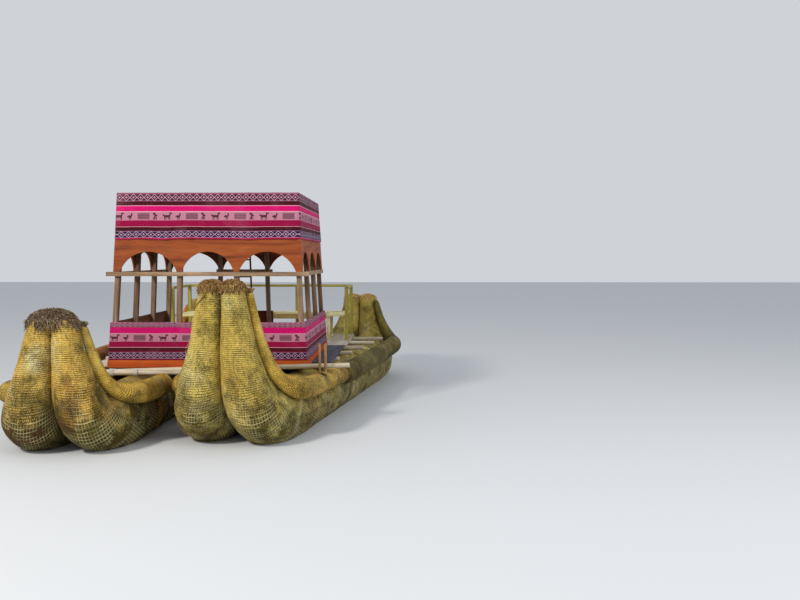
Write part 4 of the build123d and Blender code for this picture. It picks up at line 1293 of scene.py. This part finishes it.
creamBench = woodLook(
    "X", (130, 104, 60), (178, 150, 92), (214, 196, 140), 0.3, wear=0.57, rough=0.55,
    paint=srgb(232, 222, 158), paintDark=srgb(196, 180, 112), paintLight=srgb(244, 238, 190),
)
woodLooks = {
    "base_boards": orangePaint,
    "front_arch_panel": dict(shadedArchPaint, wear=0.66),
    "rear_arch_panel": rearShadedArchPaint,
    "port_arch_panel": dict(shadedArchPaint, grain="Y", paint=srgb(156, 76, 28)),
    "starboard_arch_panel": dict(shadedArchPaint, grain="Y", paint=srgb(156, 74, 26)),
    "front_parapet": darkBoard,
    "rear_parapet": woodLook("X", (52, 22, 16), (98, 36, 26), (128, 54, 38)),
    "port_parapet": woodLook("Y", (66, 40, 26), (122, 74, 44), (156, 104, 66)),
    "starboard_parapet": dict(darkBoard, grain="Y"),
    "corner_posts": postBrown,
    "end_posts": postBrown,
    "side_posts": postBrown,
    "mid_rails": woodLook("X", (96, 74, 56), (148, 120, 94), (182, 156, 126), 0.35, vary=0.3),
    "roof_frame": dict(postBrown, grain="Y"),
    "roof_boards": woodLook("X", (80, 64, 48), (136, 114, 88), (170, 150, 122)),
    "pavilion_floor": dict(paleBoard, body=srgb(150, 126, 98), dark=srgb(100, 78, 56)),
    "rear_deck": paleBoard,
    "port_side_plank": dict(paleBoard, light=srgb(236, 230, 220), body=srgb(200, 192, 178)),
    # The starboard side plank's dark slate tones are painted shade for the shadow it lies in
    "starboard_side_plank": woodLook("Y", (40, 42, 50), (70, 74, 86), (104, 108, 118), 0.35),
    "railing_posts": dict(oliveRail, grain="Z"),
    "railing_bars": oliveRail,
    "bench_seats": creamBench,
    "bench_legs": dict(creamBench, grain="Z", paint=srgb(206, 186, 110)),
    "bench_apron": dict(creamBench, paint=srgb(170, 140, 80)),
    "thole_stakes": woodLook("Z", (90, 54, 30), (170, 118, 74), (212, 168, 120), 0.4),
    "ladder": woodLook("Z", (40, 28, 22), (86, 62, 46), (128, 98, 74)),
}
for nodeName, look in woodLooks.items():
    mesh = nodes[nodeName].data
    mesh.materials.clear()
    mesh.materials.append(woodMaterial("wood_" + nodeName, look))
print("wood and paint laid on")

# Peeled poles, a little crooked and knotty, in place of the straight rods
poleLook = {
    "radius": 0.035, "around": 18, "step": 0.02, "crook": 0.004, "sink": 0.001, "sagging": 0.0012,
    "shrink": 0.0015, "thinner": 0.0018, "knot": 0.0012, "endShare": 0.9, "endReach": 0.03,
}
peeledWood = woodLook("X", (128, 108, 84), (196, 182, 156), (232, 224, 206), 0.35, streak=0.35, relief=0.004)
poleWood = woodMaterial("peeled_pole", peeledWood)


def poleShape(start, stop, seed):
    # A pole's line wanders by a few millimetres between its ends and its girth swells at knots.
    look = poleLook
    run = np.linalg.norm(stop - start)
    share = np.linspace(0, 1, max(int(run / look["step"]), 24))
    line = start + (stop - start) * share[:, None]
    line[:, 1] += wander(share * run, seed, 1.3, look["crook"])
    line[:, 2] -= look["sink"] + look["sagging"] * (1 + np.sin(share * run * 2.1 + seed))
    knots = look["knot"] * np.abs(np.sin(share * run * 4.1 + seed)) ** 14
    girth = look["radius"] - look["shrink"] - look["thinner"] * share + knots
    girth[[0, -1]] *= look["endShare"]
    return tubeAlong(line, girth, look["around"])[:3]


def poleFromNode(name, pieceName, seed):
    # The node's points are sorted into solids by giving each the lowest number that its edges
    # lead to. Each pole runs between the middles of its solid's points near its two ends.
    mesh = nodes[name].data
    points, edges = np.empty(len(mesh.vertices) * 3), np.empty(len(mesh.edges) * 2, int)
    mesh.vertices.foreach_get("co", points)
    mesh.edges.foreach_get("vertices", edges)
    points, edges = points.reshape(-1, 3), edges.reshape(-1, 2)
    owner = np.arange(len(points))
    settled = False
    while not settled:
        least = owner.copy()
        np.minimum.at(least, edges[:, 0], owner[edges[:, 1]])
        np.minimum.at(least, edges[:, 1], owner[edges[:, 0]])
        settled = np.array_equal(least, owner)
        owner = least[least]
    shapes = []
    for number, group in enumerate(np.unique(owner)):
        solid = points[owner == group]
        first = solid[solid[:, 0] < solid[:, 0].min() + poleLook["endReach"]].mean(0)
        last = solid[solid[:, 0] > solid[:, 0].max() - poleLook["endReach"]].mean(0)
        shapes.append(poleShape(first, last, seed + number))
    points, quads, triangles = gathered(shapes)
    dress(makePiece(pieceName, points, quads, None, poleWood, triangles), "pole_wood", name)


poleFromNode("cross_poles", "peeled_cross_poles", 3)
poleFromNode("level_front_pole", "peeled_level_pole", 31)
poleFromNode("tilted_front_pole", "peeled_tilted_pole", 47)
print("poles laid")

# Floor, light and camera. The floor is at the waterline.
stageLook = {
    "waterline": 0.110, "floorHalf": 60, "floor": (0.60, 0.62, 0.64, 1),
    "sky": (0.92, 0.95, 1.0, 1), "skyStrength": 0.68, "aim": (0, 0, 1),
}
lampLooks = {
    "key": {"place": (-7.5, -14.0, 12.0), "size": 2.5, "power": 2250, "colour": (1.0, 0.95, 0.87)},
    "fill": {"place": (12.0, -10.0, 8.0), "size": 8.0, "power": 700, "colour": (0.95, 0.97, 1.0)},
}
cameraLook = {"place": (2.71, -12.55, 2.335), "down": 3.04, "turn": 0.79, "lens": 36.0, "sensor": 36.0}

half = stageLook["floorHalf"]
floorMesh = bpy.data.meshes.new("floor")
floorCorners = [(-half, -half, 0), (half, -half, 0), (half, half, 0), (-half, half, 0)]
floorMesh.from_pydata(floorCorners, [], [(0, 1, 2, 3)])
floorThing = bpy.data.objects.new("floor", floorMesh)
bpy.context.scene.collection.objects.link(floorThing)
floorThing.location = (0, 0, stageLook["waterline"] + float(home[2]))
floorMaterial, _, floorShader = newMaterial("pale_floor", 0.9, 0.1)
floorShader.inputs["Base Color"].default_value = stageLook["floor"]
floorMesh.materials.append(floorMaterial)

world = bpy.data.worlds.new("studio")
bpy.context.scene.world = world
world.use_nodes = True
background = world.node_tree.nodes["Background"]
background.inputs["Color"].default_value = stageLook["sky"]
background.inputs["Strength"].default_value = stageLook["skyStrength"]


def areaLight(name, look):
    # A round lamp turned so that its own downward axis points from its place to the aim.
    light = bpy.data.lights.new(name, "AREA")
    light.shape = "DISK"
    light.size = look["size"]
    light.energy = look["power"]
    light.color = look["colour"]
    thing = bpy.data.objects.new(name, light)
    bpy.context.scene.collection.objects.link(thing)
    way = np.array(stageLook["aim"]) - look["place"]
    down = math.atan2(math.hypot(way[0], way[1]), -way[2])
    thing.location = look["place"]
    thing.rotation_euler = (down, 0, math.atan2(way[0], -way[1]) + math.pi)


for lampName, look in lampLooks.items():
    areaLight(lampName, look)

cameraData = bpy.data.cameras.new("camera")
cameraData.lens = cameraLook["lens"]
cameraData.sensor_width = cameraLook["sensor"]
camera = bpy.data.objects.new("camera", cameraData)
bpy.context.scene.collection.objects.link(camera)
camera.location = np.array(cameraLook["place"]) + home
camera.rotation_euler = (math.radians(90 - cameraLook["down"]), 0, math.radians(cameraLook["turn"]))
bpy.context.scene.camera = camera
bpy.context.scene.view_settings.view_transform = "Standard"

print("scene ready")
